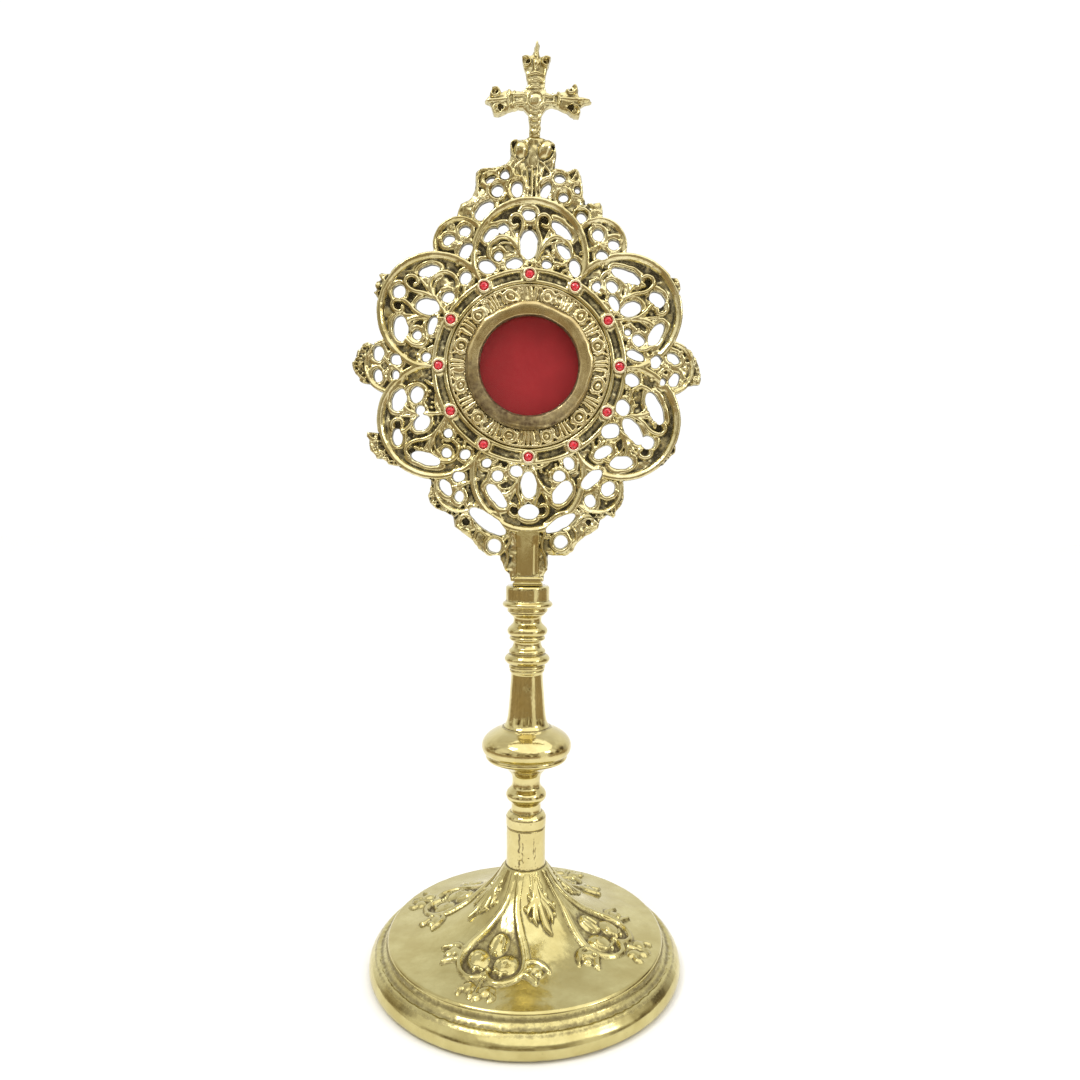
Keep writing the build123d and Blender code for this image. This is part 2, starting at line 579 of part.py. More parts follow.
# Thumb tab soldered to the door's free edge.
with BuildPart() as door_tab:
    with BuildSketch(Plane.XZ.offset(-(door_back + 1.0))):
        with Locations((-20.8, head_z)):
            RectangleRounded(5.4, 5.0, 1.6)
    extrude(amount=1.0)
door_tab.part.label = "door_tab"
export_step(door_tab.part, "parts/door_tab.step")

with BuildPart() as lining_card:
    with BuildSketch(Plane.XZ.offset(-card_back)):
        with Locations((0, head_z)):
            Circle(lining_radius)
    extrude(amount=card_back - (lining_front + lining_thickness))
lining_card.part.label = "lining_card"
export_step(lining_card.part, "parts/lining_card.step")

with BuildPart() as red_lining:
    with BuildSketch(Plane.XZ.offset(-(lining_front + lining_thickness))):
        with Locations((0, head_z)):
            Circle(lining_radius)
    extrude(amount=lining_thickness)
red_lining.part.label = "red_lining"
export_step(red_lining.part, "parts/red_lining.step")
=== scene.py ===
"""Monstrance: the looks of a small cast-brass relic monstrance.

Head, foot, cross, stem castings, bezel, band, stones and lining are built here as
fine meshes over the CAD frame; the rear door, its hinge, the tube, the glass and
the rod with its nut and washer are the CAD nodes with new materials.
"""

import json
import math

import bpy
import numpy as np
from mathutils import Matrix, Vector

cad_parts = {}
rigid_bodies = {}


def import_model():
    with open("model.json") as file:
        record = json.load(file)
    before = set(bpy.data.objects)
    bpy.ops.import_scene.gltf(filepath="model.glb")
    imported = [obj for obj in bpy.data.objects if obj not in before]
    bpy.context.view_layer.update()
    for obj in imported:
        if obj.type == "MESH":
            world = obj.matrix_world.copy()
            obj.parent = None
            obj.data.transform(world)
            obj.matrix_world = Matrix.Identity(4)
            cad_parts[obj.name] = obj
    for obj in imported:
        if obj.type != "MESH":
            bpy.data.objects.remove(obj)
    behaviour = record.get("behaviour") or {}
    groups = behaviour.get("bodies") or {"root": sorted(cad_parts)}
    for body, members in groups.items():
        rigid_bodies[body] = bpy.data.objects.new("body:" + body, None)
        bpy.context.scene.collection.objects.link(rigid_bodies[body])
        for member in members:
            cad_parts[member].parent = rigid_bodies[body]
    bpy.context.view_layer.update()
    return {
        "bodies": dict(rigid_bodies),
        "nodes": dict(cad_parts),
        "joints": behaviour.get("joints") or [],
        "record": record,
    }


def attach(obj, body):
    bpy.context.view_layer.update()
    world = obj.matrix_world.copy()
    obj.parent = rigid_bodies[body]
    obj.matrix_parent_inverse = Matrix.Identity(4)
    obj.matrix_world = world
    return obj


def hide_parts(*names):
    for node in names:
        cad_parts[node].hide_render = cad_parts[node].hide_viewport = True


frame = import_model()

# ------------------------------------------------------------------ relief tools
# A relief is painted on a flat millimetre grid: heights, a plan outline, and a
# map of how deep each point lies below its surroundings, which later holds the
# dark patina.
HEAD_Z = 210.0


def value_noise(u, v, size, seed):
    """Smooth repeatable noise in -1..1, with features about `size` across."""
    a, b = u / size, v / size
    i, j = np.floor(a).astype(np.int64), np.floor(b).astype(np.int64)
    fa, fb = a - i, b - j
    fa, fb = fa * fa * (3 - 2 * fa), fb * fb * (3 - 2 * fb)

    def lattice(p, q):
        h = (p * 374761393 + q * 668265263 + seed * 1442695041) & 0xFFFFFFFF
        h = ((h ^ (h >> 13)) * 1274126177) & 0xFFFFFFFF
        h = (h ^ (h >> 16)) & 0xFFFF
        return h / 32767.5 - 1.0

    return (
        lattice(i, j) * (1 - fa) * (1 - fb)
        + lattice(i + 1, j) * fa * (1 - fb)
        + lattice(i, j + 1) * (1 - fa) * fb
        + lattice(i + 1, j + 1) * fa * fb
    )


def smooth_max(a, b, k):
    h = np.clip(0.5 + 0.5 * (a - b) / k, 0, 1)
    return b + (a - b) * h + k * h * (1 - h)


def curve_through(points, per=7):
    """Points along a smooth line through the given ones."""
    p = np.array(points, float)
    if len(p) < 3:
        t = np.linspace(0, 1, per + 1)[:, None]
        return p[0] * (1 - t) + p[-1] * t
    ext = np.vstack([2 * p[0] - p[1], p, 2 * p[-1] - p[-2]])
    out = []
    for k in range(1, len(ext) - 2):
        a, b, c, d = ext[k - 1], ext[k], ext[k + 1], ext[k + 2]
        for t in np.linspace(0, 1, per, endpoint=False):
            out.append(0.5 * ((2 * b) + (c - a) * t + (2 * a - 5 * b + 4 * c - d) * t**2 + (3 * b - a - 3 * c + d) * t**3))
    out.append(p[-1])
    return np.array(out)


class Relief:
    def __init__(self, x0, x1, z0, z1, step):
        self.x = np.arange(x0, x1 + step / 2, step)
        self.z = np.arange(z0, z1 + step / 2, step)
        self.step = step
        self.X, self.Z = np.meshgrid(self.x, self.z, indexing="ij")
        self.H = np.zeros_like(self.X)

    def window(self, cx, cz, r):
        i0 = max(0, int((cx - r - self.x[0]) / self.step))
        i1 = min(len(self.x), int((cx + r - self.x[0]) / self.step) + 2)
        j0 = max(0, int((cz - r - self.z[0]) / self.step))
        j1 = min(len(self.z), int((cz + r - self.z[0]) / self.step) + 2)
        return slice(i0, max(i0, i1)), slice(j0, max(j0, j1))

    def stroke(self, points, width, top, base, taper=(1.0, 1.0), crease=0.0, k=0.18, smooth=True):
        """A raised strand of half-round section along a line. width is its half width."""
        p = curve_through(points) if smooth else np.array(points, float)
        n = len(p)
        lo, hi = p.min(0) - width - 0.5, p.max(0) + width + 0.5
        c, r = (lo + hi) / 2, max((hi - lo) / 2)
        w = self.window(c[0], c[1], r)
        X, Z = self.X[w], self.Z[w]
        if X.size == 0:
            return
        best = np.full(X.shape, 1e9)
        for a in range(n - 1):
            t = (a + 0.5) / (n - 1)
            wid = width * (taper[0] * (1 - t) + taper[1] * t) if taper[0] + taper[1] < 1.99 else width
            # full in the middle, narrowing to the given share at each end
            wid = width * (taper[0] + (1 - taper[0]) * min(1, 3 * t)) * (taper[1] + (1 - taper[1]) * min(1, 3 * (1 - t)))
            ax, az, bx, bz = p[a, 0], p[a, 1], p[a + 1, 0], p[a + 1, 1]
            dx, dz = bx - ax, bz - az
            s = np.clip(((X - ax) * dx + (Z - az) * dz) / (dx * dx + dz * dz + 1e-9), 0, 1)
            d = np.hypot(X - ax - s * dx, Z - az - s * dz) / max(wid, 0.12)
            best = np.minimum(best, d)
        prof = np.sqrt(np.clip(1 - best**2, 0, 1))
        if crease:
            prof = prof - crease * np.exp(-((best / 0.2) ** 2))
        h = np.where(best < 1, base + (top - base) * prof, -9)
        on = best < 1
        now = self.H[w]
        self.H[w] = np.where(on, smooth_max(h, now, k), now)

    def blob(self, cx, cz, a, b, turn, top, base, k=0.2, power=0.5):
        """A raised rounded leaf or berry."""
        w = self.window(cx, cz, max(a, b) + 0.5)
        X, Z = self.X[w] - cx, self.Z[w] - cz
        if X.size == 0:
            return
        c, s = math.cos(math.radians(turn)), math.sin(math.radians(turn))
        u, v = (X * c + Z * s) / a, (-X * s + Z * c) / b
        q = 1 - u * u - v * v
        now = self.H[w]
        h = base + (top - base) * np.clip(q, 0, 1) ** power
        self.H[w] = np.where(q > 0, smooth_max(h, now, k), now)

    def pit(self, cx, cz, r, depth, floor=None):
        """A drilled or cast dimple that doesn't go through."""
        w = self.window(cx, cz, r + 0.6)
        d = np.hypot(self.X[w] - cx, self.Z[w] - cz) / r
        f = np.clip((1.12 - d) / 0.24, 0, 1)
        f = f * f * (3 - 2 * f)
        low = self.H[w] - depth if floor is None else np.full(d.shape, floor)
        self.H[w] = self.H[w] * (1 - f) + np.minimum(self.H[w], low) * f

    def ring(self, cx, cz, r, width, top, base, k=0.18, arc=None):
        """A raised ring, or an arc of one from arc[0] to arc[1] degrees."""
        a0, a1 = arc or (0, 360)
        n = max(6, int(abs(a1 - a0) / 18))
        t = np.radians(np.linspace(a0, a1, n + 1))
        self.stroke([(cx + r * math.cos(q), cz + r * math.sin(q)) for q in t], width, top, base, k=k)


def ellipse_distance(X, Z, cx, cz, a, b, turn):
    c, s = math.cos(math.radians(turn)), math.sin(math.radians(turn))
    u, v = (X - cx) * c + (Z - cz) * s, -(X - cx) * s + (Z - cz) * c
    k0 = np.sqrt((u / a) ** 2 + (v / b) ** 2)
    k1 = np.sqrt((u / a**2) ** 2 + (v / b**2) ** 2) + 1e-9
    return np.where(k0 < 1e-3, -min(a, b), k0 * (k0 - 1) / k1)


def polygon_distance(X, Z, pts):
    """Signed distance to a closed outline, negative inside."""
    p = np.array(pts, float)
    d2 = np.full(X.shape, 1e9)
    inside = np.zeros(X.shape, bool)
    for a, b in zip(p, np.roll(p, -1, axis=0)):
        e = b - a
        t = np.clip(((X - a[0]) * e[0] + (Z - a[1]) * e[1]) / (e @ e + 1e-9), 0, 1)
        d2 = np.minimum(d2, (X - a[0] - t * e[0]) ** 2 + (Z - a[1] - t * e[1]) ** 2)
        if abs(e[1]) > 1e-9:
            hit = ((a[1] <= Z) != (b[1] <= Z)) & (X < a[0] + (Z - a[1]) / e[1] * e[0])
            inside ^= hit
    d = np.sqrt(d2)
    return np.where(inside, -d, d)


def box_blur(a, n):
    """Blur over 2n+1 cells both ways, twice."""
    for _ in range(2):
        for axis in (0, 1):
            pad = [(0, 0), (0, 0)]
            pad[axis] = (n + 1, n)
            c = np.cumsum(np.pad(a, pad, mode="edge"), axis=axis)
            m = 2 * n + 1
            if axis == 0:
                a = (c[m:, :] - c[:-m, :]) / m
            else:
                a = (c[:, m:] - c[:, :-m]) / m
    return a


def sample_map(field, x0, z0, step, X, Z):
    """The map's value at each point, between its cells."""
    u = np.clip((X - x0) / step, 0, field.shape[0] - 1.001)
    v = np.clip((Z - z0) / step, 0, field.shape[1] - 1.001)
    i, j = u.astype(int), v.astype(int)
    a, b = u - i, v - j
    return (
        field[i, j] * (1 - a) * (1 - b)
        + field[i + 1, j] * a * (1 - b)
        + field[i, j + 1] * (1 - a) * b
        + field[i + 1, j + 1] * a * b
    )


def surface_net(F, x, y, z):
    """Closed mesh of the surface where F, sampled on the grid x, y, z, is 0. F is negative inside. Returns points and quads."""
    nx, ny, nz = F.shape
    inside = F < 0
    shape = (nx - 1, ny - 1, nz - 1)
    count = np.zeros(shape[0] * shape[1] * shape[2], np.float32)
    total = np.zeros((count.size, 3), np.float32)
    edges = []
    for axis in range(3):
        lo = [slice(None)] * 3
        hi = [slice(None)] * 3
        lo[axis], hi[axis] = slice(0, -1), slice(1, None)
        a, b = F[tuple(lo)], F[tuple(hi)]
        cross = inside[tuple(lo)] != inside[tuple(hi)]
        i, j, k = np.nonzero(cross)
        fa, fb = a[i, j, k], b[i, j, k]
        t = fa / (fa - fb)
        pos = np.stack([i, j, k], 1).astype(np.float32)
        pos[:, axis] += t
        edges.append((i, j, k, fa < 0))
        o1, o2 = [q for q in range(3) if q != axis]
        for s1 in (0, 1):
            for s2 in (0, 1):
                c = [i.copy(), j.copy(), k.copy()]
                c[o1] = c[o1] - s1
                c[o2] = c[o2] - s2
                ok = (c[o1] >= 0) & (c[o1] < shape[o1]) & (c[o2] >= 0) & (c[o2] < shape[o2])
                lin = (c[0][ok] * shape[1] + c[1][ok]) * shape[2] + c[2][ok]
                count += np.bincount(lin, minlength=count.size).astype(np.float32)
                for q in range(3):
                    total[:, q] += np.bincount(lin, weights=pos[ok, q], minlength=count.size).astype(np.float32)
    used = np.nonzero(count)[0]
    index = np.full(count.size, -1, np.int32)
    index[used] = np.arange(len(used))
    p = total[used] / count[used][:, None]
    pts = np.stack(
        [np.interp(p[:, 0], np.arange(nx), x), np.interp(p[:, 1], np.arange(ny), y), np.interp(p[:, 2], np.arange(nz), z)], 1
    )
    quads = []
    for axis in range(3):
        i, j, k, neg = edges[axis]
        o1, o2 = [q for q in range(3) if q != axis]
        ids = []
        ok = np.ones(len(i), bool)
        for s1, s2 in ((1, 1), (0, 1), (0, 0), (1, 0)):
            c = [i, j, k]
            c = [q.copy() for q in c]
            c[o1] = c[o1] - s1
            c[o2] = c[o2] - s2
            ok &= (c[o1] >= 0) & (c[o1] < shape[o1]) & (c[o2] >= 0) & (c[o2] < shape[o2])
            ids.append((np.clip(c[0], 0, shape[0] - 1) * shape[1] + np.clip(c[1], 0, shape[1] - 1)) * shape[2] + np.clip(c[2], 0, shape[2] - 1))
        q = np.stack([index[v] for v in ids], 1)[ok]
        neg = neg[ok]
        flip = neg if axis != 1 else ~neg
        q[~flip] = q[~flip][:, ::-1]
        quads.append(q)
    return pts, np.vstack(quads)

# ------------------------------------------------------------------ rosette
# Openings of the lace: centre x, z, half axes and turn of the long axis, in mm.
PIERCINGS = [
    (-8.7, 274.9, 1.60, 1.56, -177), (9.9, 273.5, 1.77, 1.50, 165), (-13.6, 272.9, 1.53, 1.11, -146),
    (-4.6, 270.0, 2.67, 1.96, 89), (16.0, 269.9, 1.15, 1.06, 113), (5.3, 269.6, 2.86, 1.56, 67),
    (-11.2, 269.5, 2.14, 1.90, 67), (11.3, 267.2, 1.71, 1.45, -172), (-15.6, 262.9, 3.89, 2.35, 47),
    (-0.4, 261.6, 2.24, 1.91, 169), (17.4, 260.6, 1.73, 1.60, 102), (-9.2, 256.8, 1.76, 1.61, 162),
    (10.8, 256.3, 4.46, 1.85, 138), (-22.3, 255.7, 1.93, 1.76, 56), (23.2, 254.8, 2.23, 1.88, 103),
    (-13.4, 254.7, 3.05, 1.72, -136), (-27.6, 252.9, 2.06, 1.66, -151), (28.5, 251.7, 2.01, 1.86, 142),
    (-0.5, 251.6, 5.16, 3.03, 86), (-21.8, 249.3, 2.93, 1.91, 55), (11.6, 249.3, 3.14, 1.60, 131),
    (24.7, 247.9, 2.05, 1.74, 178), (-10.9, 247.6, 1.69, 1.57, 70), (-5.3, 245.0, 2.97, 1.96, -176),
    (5.7, 244.7, 1.68, 1.62, -157), (-14.5, 244.0, 2.99, 2.12, 155), (15.4, 243.6, 2.93, 1.76, 102),
    (-34.4, 242.4, 3.69, 1.98, -168), (33.0, 241.2, 5.43, 2.22, 158), (-22.1, 240.3, 2.22, 1.80, 78),
    (28.2, 237.6, 2.23, 1.81, 118), (22.9, 237.5, 1.75, 1.57, 78), (-44.8, 235.3, 2.47, 2.11, 79),
    (-27.9, 233.6, 2.17, 1.93, -144), (43.7, 233.4, 3.10, 2.38, 135), (29.0, 231.8, 2.93, 1.58, 105),
    (-34.9, 230.5, 4.14, 2.67, 170), (34.8, 230.1, 3.75, 2.48, -158), (-33.3, 224.1, 3.05, 1.55, 73),
    (-44.2, 223.0, 4.32, 2.53, 93), (33.8, 222.2, 1.23, 1.16, -152), (43.5, 221.5, 4.38, 2.03, 60),
    (-38.6, 220.7, 1.68, 1.54, 91), (37.5, 219.5, 2.11, 1.90, 155), (36.6, 214.3, 3.06, 1.54, 155),
    (-51.9, 214.2, 2.56, 1.88, 91), (49.7, 213.3, 2.40, 1.62, 140), (-35.5, 213.2, 1.61, 1.54, 64),
    (-45.9, 212.3, 2.00, 1.82, 149), (43.6, 212.1, 2.11, 1.86, 71), (-45.9, 206.9, 1.66, 1.32, 112),
    (-52.0, 206.7, 2.29, 1.45, 98), (50.0, 206.1, 2.56, 1.60, 65), (35.5, 205.9, 2.58, 2.17, 136),
    (46.0, 205.3, 1.20, 1.04, 91), (-38.7, 200.4, 2.79, 2.28, 70), (-44.8, 198.4, 3.92, 2.45, 73),
    (32.5, 196.3, 2.86, 2.42, 85), (43.5, 196.2, 5.93, 2.41, 112), (-37.5, 195.1, 1.65, 1.58, -166),
    (-36.9, 190.7, 2.96, 2.41, 46), (28.2, 188.4, 3.3, 2.5, 20), (36.0, 188.4, 5.2, 2.6, 125),
    (41.2, 184.6, 2.2, 2.2, 0), (-27.9, 187.2, 1.66, 1.57, 157), (-45.4, 185.7, 2.83, 1.82, 95),
    (25.7, 180.9, 3.36, 1.82, -149), (-28.5, 180.4, 1.63, 1.59, 161), (-22.0, 179.9, 1.86, 1.59, -163),
    (-35.6, 178.5, 5.41, 1.99, 165), (32.2, 177.6, 4.04, 2.20, -173), (14.0, 177.1, 2.27, 1.73, 124),
    (-14.5, 177.1, 1.76, 1.59, -156), (-4.2, 174.3, 2.22, 1.95, 163), (-10.7, 172.7, 1.83, 1.76, 128),
    (10.7, 172.7, 2.10, 1.81, -157), (-24.2, 172.3, 1.97, 1.73, -160), (21.9, 171.7, 4.47, 2.16, -139),
    (0.1, 169.6, 4.58, 2.72, 93), (-28.7, 168.5, 3.13, 1.65, 120), (27.7, 168.4, 2.63, 2.12, 55),
    (11.8, 167.0, 4.52, 2.65, 53), (-11.0, 165.7, 5.00, 2.01, 128), (-23.9, 165.4, 1.83, 1.70, 95),
    (21.5, 164.2, 2.15, 1.85, 115), (0.2, 160.3, 3.56, 2.53, -177), (-14.1, 156.8, 7.39, 2.62, 145),
    (11.3, 156.3, 5.75, 2.03, -150), (11.4, 149.9, 2.31, 2.15, -158), (-11.6, 148.3, 2.37, 2.13, 124),
]
CROWN = [
    (-26.5, 260.0), (-25.0, 261.0), (-24.6, 263.2), (-23.8, 265.2), (-21.2, 266.2), (-19.6, 268.0),
    (-18.8, 271.0), (-18.9, 275.6), (-16.5, 277.1), (-12, 277.0), (-8.6, 278.4), (-7.1, 280.0),
    (-7.1, 285.4), (-5.2, 286.4), (-1.8, 286.6), (-0.8, 287.6), (3.0, 287.6), (4.6, 287.0),
    (8.4, 284.8), (8.8, 282.0), (8.2, 277.0), (12, 276.1), (15.6, 277.2), (17.3, 274.6),
    (17.8, 270.6), (18.2, 267.4), (19.0, 265.6), (20.6, 265.3), (23.8, 266.0), (24.8, 264.6),
    (24.8, 261.0), (26.6, 260.0), (0, 246),
]
SKIRT = [
    (-30.5, 160.8), (-26.2, 158.4), (-25.6, 155.0), (-23.6, 153.4), (-19.8, 150.6), (-17.2, 147.2),
    (-14.4, 144.9), (-10.0, 144.8), (-8.9, 142.0), (-8.2, 140.0), (-6.3, 138.4), (-5.9, 136.0),
    (5.5, 136.0), (5.7, 138.4), (7.0, 140.2), (7.1, 145.2), (13.2, 144.9), (15.6, 146.6),
    (17.2, 149.6), (19.2, 151.0), (24.4, 154.4), (25.0, 157.4), (28.4, 159.8), (24, 170), (-24, 170),
]
CRESTS = [
    [
        (-48.0, 231.0), (-51.3, 231.5), (-52.8, 233.6), (-53.7, 235.0), (-52.6, 236.2), (-53.2, 237.4),
        (-52.6, 239.0), (-51.2, 239.5), (-51.8, 241.0), (-51.0, 242.0), (-49.5, 241.5), (-46.0, 241.6),
    ],
    [
        (-52.0, 217.0), (-55.6, 218.3), (-57.4, 217.7), (-58.2, 216.0), (-59.9, 215.0), (-59.7, 213.2),
        (-61.1, 211.2), (-60.9, 208.9), (-59.8, 207.0), (-58.6, 206.0), (-58.8, 204.8), (-57.2, 204.0),
        (-55.0, 203.8), (-52.0, 202.4),
    ],
    [
        (-49.0, 186.8), (-53.2, 187.4), (-55.9, 187.6), (-56.2, 186.0), (-55.2, 184.6), (-55.6, 183.4),
        (-54.8, 181.0), (-53.2, 179.4), (-52.6, 178.4), (-50.2, 177.8), (-48.8, 176.4), (-46.0, 175.6),
        (-43.8, 175.4), (-41.0, 176.6), (-44.0, 182.0),
    ],
    [
        (45.0, 240.6), (47.2, 240.9), (50.6, 240.9), (51.5, 239.0), (52.0, 237.0), (51.4, 235.6),
        (51.0, 233.8), (50.6, 230.8), (47.6, 230.6),
    ],
    [
        (52.0, 217.4), (55.5, 216.6), (57.0, 214.4), (58.2, 212.0), (59.2, 209.0), (59.5, 206.4),
        (58.8, 204.4), (57.0, 204.2), (54.0, 203.6), (52.0, 202.2),
    ],
    [
        (47.6, 186.0), (50.6, 184.6), (51.2, 182.6), (50.8, 180.8), (49.6, 180.0), (48.4, 178.6),
        (46.6, 176.6), (44.4, 176.2), (41.8, 175.4), (39.0, 176.6), (43.0, 182.0),
    ],
    [
        (-31.0, 172.5), (-33.8, 172.4), (-34.0, 169.0), (-34.9, 165.6), (-34.2, 163.0), (-32.2, 161.0),
        (-30.0, 160.2), (-28.0, 160.0), (-26.4, 158.6), (-25.6, 156.8), (-22.0, 161.0), (-28.0, 166.0),
    ],
    [
        (31.0, 172.0), (33.1, 172.0), (33.4, 168.0), (33.2, 164.6), (32.0, 162.0), (30.4, 160.3),
        (30.7, 159.2), (29.6, 158.2), (28.4, 159.0), (26.8, 159.4), (25.2, 158.2), (24.8, 156.2),
        (21.0, 160.0), (27.0, 164.0),
    ],
]
LARGE = [(37.0 * math.cos(math.radians(90 + 60 * k)), HEAD_Z + 37.0 * math.sin(math.radians(90 + 60 * k)), 90 + 60 * k) for k in range(6)]
SMALL = [(47.7 * math.cos(math.radians(60 + 60 * k)), HEAD_Z + 47.7 * math.sin(math.radians(60 + 60 * k)), 60 + 60 * k) for k in range(6)]
FIELD, STRAND, RIM = 1.45, 2.75, 3.0


def rosette_relief(step):
    """Plan outline and front height of the openwork casting."""
    R = Relief(-62.0, 62.0, 133.6, 289.2, step)
    X, Z = R.X, R.Z
    rc = np.hypot(X, Z - HEAD_Z)
    ang = np.degrees(np.arctan2(X, Z - HEAD_Z))
    wob = 0.22 * value_noise(X, Z, 6.0, 3) + 0.12 * value_noise(X, Z, 2.4, 4)

    # plan outline, negative inside the metal
    out = np.full(X.shape, 1e3)
    large_d = np.full(X.shape, 1e3)
    for cx, cz, _ in LARGE:
        large_d = np.minimum(large_d, np.hypot(X - cx, Z - cz))
    small_d = np.full(X.shape, 1e3)
    for cx, cz, _ in SMALL:
        small_d = np.minimum(small_d, np.hypot(X - cx, Z - cz))
    out = np.minimum(out, large_d + 0.35 * wob - 20.4)
    out = np.minimum(out, small_d + 0.45 * wob - 9.4)
    extra = np.minimum(polygon_distance(X, Z, CROWN), polygon_distance(X, Z, SKIRT))
    # leafy crests outside the lobes
    crest_d = np.full(X.shape, 1e3)
    for outline in CRESTS:
        q = np.array(outline)
        c = (q.min(0) + q.max(0)) / 2
        w = R.window(c[0], c[1], max(q.max(0) - q.min(0)) / 2 + 3)
        crest_d[w] = np.minimum(crest_d[w], polygon_distance(X[w], Z[w], outline))
    extra = np.minimum(extra, crest_d)
    frill = 0.28 * np.abs(value_noise(X, Z, 1.9, 21)) + 0.16 * value_noise(X, Z, 1.1, 22)
    out = np.minimum(out, extra + frill * (np.abs(X) > 6.2))
    out = np.minimum(out, rc - 33.6)
    out = np.maximum(out, 20.6 - rc)
    holes = np.full(X.shape, 1e3)
    for cx, cz, a, b, turn in PIERCINGS:
        w = R.window(cx, cz, a + 5.0)
        d = ellipse_distance(X[w], Z[w], cx, cz, a, b, turn)
        holes[w] = np.minimum(holes[w], d)
    holes = holes + 0.22 * value_noise(X, Z, 1.7, 9)

    # ---- heights
    H = R.H
    lumps = 0.5 + 0.5 * value_noise(X + 0.6 * wob, Z, 1.7, 5)
    H[:] = FIELD - 0.25 + 0.85 * np.sqrt(np.clip(1 - ((lumps - 0.5) / 0.42) ** 2, 0, 1)) * (0.55 + 0.45 * value_noise(X, Z, 3.4, 6))
    # strands that run round each opening
    band = 1.9 + 0.4 * value_noise(X, Z, 5.0, 7)
    q = np.clip(1 - (2 * np.clip(holes, 0, None) / band - 1) ** 2, 0, 1)
    lift = 0.84 + 0.28 * value_noise(X, Z, 3.2, 8)
    strand = FIELD + (STRAND - FIELD) * lift * np.sqrt(q)
    on = (holes > 0) & (holes < band)
    R.H = H = np.where(on, np.maximum(H, strand), H)
    # the apex and skirt are solid leafwork between their strands
    leafy = np.clip(-extra / 1.2, 0, 1) * (large_d > 20.2) * (small_d > 9.2)
    H += leafy * (0.55 + 0.45 * value_noise(X, Z, 1.5, 12)) * (holes > 1.0)

    # leafwork of each large lobe, in the lobe's own axes: v across, u outwards
    for n, (cx, cz, turn) in enumerate(LARGE):
        er = (math.cos(math.radians(turn)), math.sin(math.radians(turn)))
        et = (er[1], -er[0])

        def at(v, u, cx=cx, cz=cz, er=er, et=et):
            return (cx + v * et[0] + u * er[0], cz + v * et[1] + u * er[1])

        worn = (1.0, 0.97, 1.03, 0.98, 1.0, 1.04)[n]
        for side in (-1, 1):
            j = lambda pts: [at(side * v * worn, u) for v, u in pts]
            # inner stalk beside the long opening, rolling over into an eye
            R.stroke(j([(0.8, -3.6), (2.0, -1.2), (3.2, 1.4), (3.7, 4.2), (3.4, 7.0), (2.5, 9.3), (2.3, 11.6), (3.2, 13.8), (5.0, 14.4), (6.6, 13.2), (6.8, 11.4), (5.6, 10.2), (4.4, 10.8)]), 1.0, 3.3, 1.3, k=0.3)
            R.stroke(j([(4.2, 2.6), (5.0, 5.4), (6.2, 8.0), (7.0, 10.0)]), 0.85, 2.85, 1.2, taper=(0.5, 0.4))
            # side leaf, arched over its own opening
            R.stroke(j([(3.6, 2.0), (5.6, 5.2), (8.4, 6.9), (11.4, 6.3), (13.6, 4.2), (14.2, 1.4), (13.2, -1.2), (11.0, -2.4), (8.8, -1.9)]), 1.05, 3.2, 1.3, k=0.3)
            R.stroke(j([(4.6, 3.0), (6.8, 4.6), (9.2, 4.9), (11.2, 3.8)]), 0.55, 2.85, 1.5, taper=(0.5, 0.4))
            R.stroke(j([(7.2, 7.6), (8.6, 8.9), (10.2, 9.0)]), 0.8, 2.7, 1.2, taper=(0.9, 0.3))
            # root of the palmette
            R.stroke(j([(0.6, -3.8), (3.0, -2.6), (5.8, -3.6), (8.6, -5.6)]), 1.0, 3.0, 1.3, taper=(0.7, 0.5), k=0.3)
            R.stroke(j([(9.6, -6.2), (11.6, -4.6), (13.4, -3.6)]), 0.85, 2.8, 1.2, taper=(0.6, 0.5))
            ex, ez = at(side * 4.7 * worn, 12.3)
            R.pit(ex, ez, 0.95, 0, floor=0.9)
        bx, bz = at(0, 10.1)
        R.pit(bx, bz, 0.7, 0, floor=1.0)
        # beads where the leaves spring from the ring
        for v, u, r in ((-4.4, -1.2, 0.8), (4.6, -1.0, 0.75), (-7.4, 1.6, 0.7), (7.6, 1.9, 0.75), (6.0, -1.9, 0.6), (-6.4, -1.6, 0.6), (9.6, -3.4, 0.7), (-9.4, -3.6, 0.7), (-2.6, -3.2, 0.6), (2.4, -3.0, 0.6)):
            px, pz = at(v, u)
            R.blob(px, pz, r * 1.2, r * 1.05, 30 * u, 3.0, 1.3)
    # knotwork of each small lobe: crossed strands over a sunk field
    for n, (cx, cz, turn) in enumerate(SMALL):
        er = (math.cos(math.radians(turn)), math.sin(math.radians(turn)))
        et = (er[1], -er[0])

        def at(v, u, cx=cx, cz=cz, er=er, et=et):
            return (cx + v * et[0] + u * er[0], cz + v * et[1] + u * er[1])

        for pts in ([(-5.4, 4.6), (-1.6, 1.2), (1.2, -2.0), (4.2, -5.6)], [(5.4, 4.6), (1.6, 1.2), (-1.2, -2.0), (-4.2, -5.6)]):
            R.stroke([at(*p) for p in pts], 0.85, 3.0, 1.3, crease=0.3, k=0.25)
        R.blob(*at(0, -0.4), 1.25, 1.1, 0, 3.1, 1.4)
        for v, u in ((-6.2, -1.2), (6.2, -1.2), (0, 6.2), (-3.4, 6.0), (3.4, 6.0)):
            px, pz = at(v, u)
            R.blob(px, pz, 0.8, 0.6, 40 * v, 2.5, 1.2)

    H = R.H
    # grain of the casting between the strands, beaded near the ring
    bead = value_noise(X, Z, 0.95, 31)
    near = np.clip((41.5 - rc) / 4, 0, 1) * (rc > 33.0)
    H += near * np.clip(bead, 0, 1) * 0.55 * (holes > 0.5)

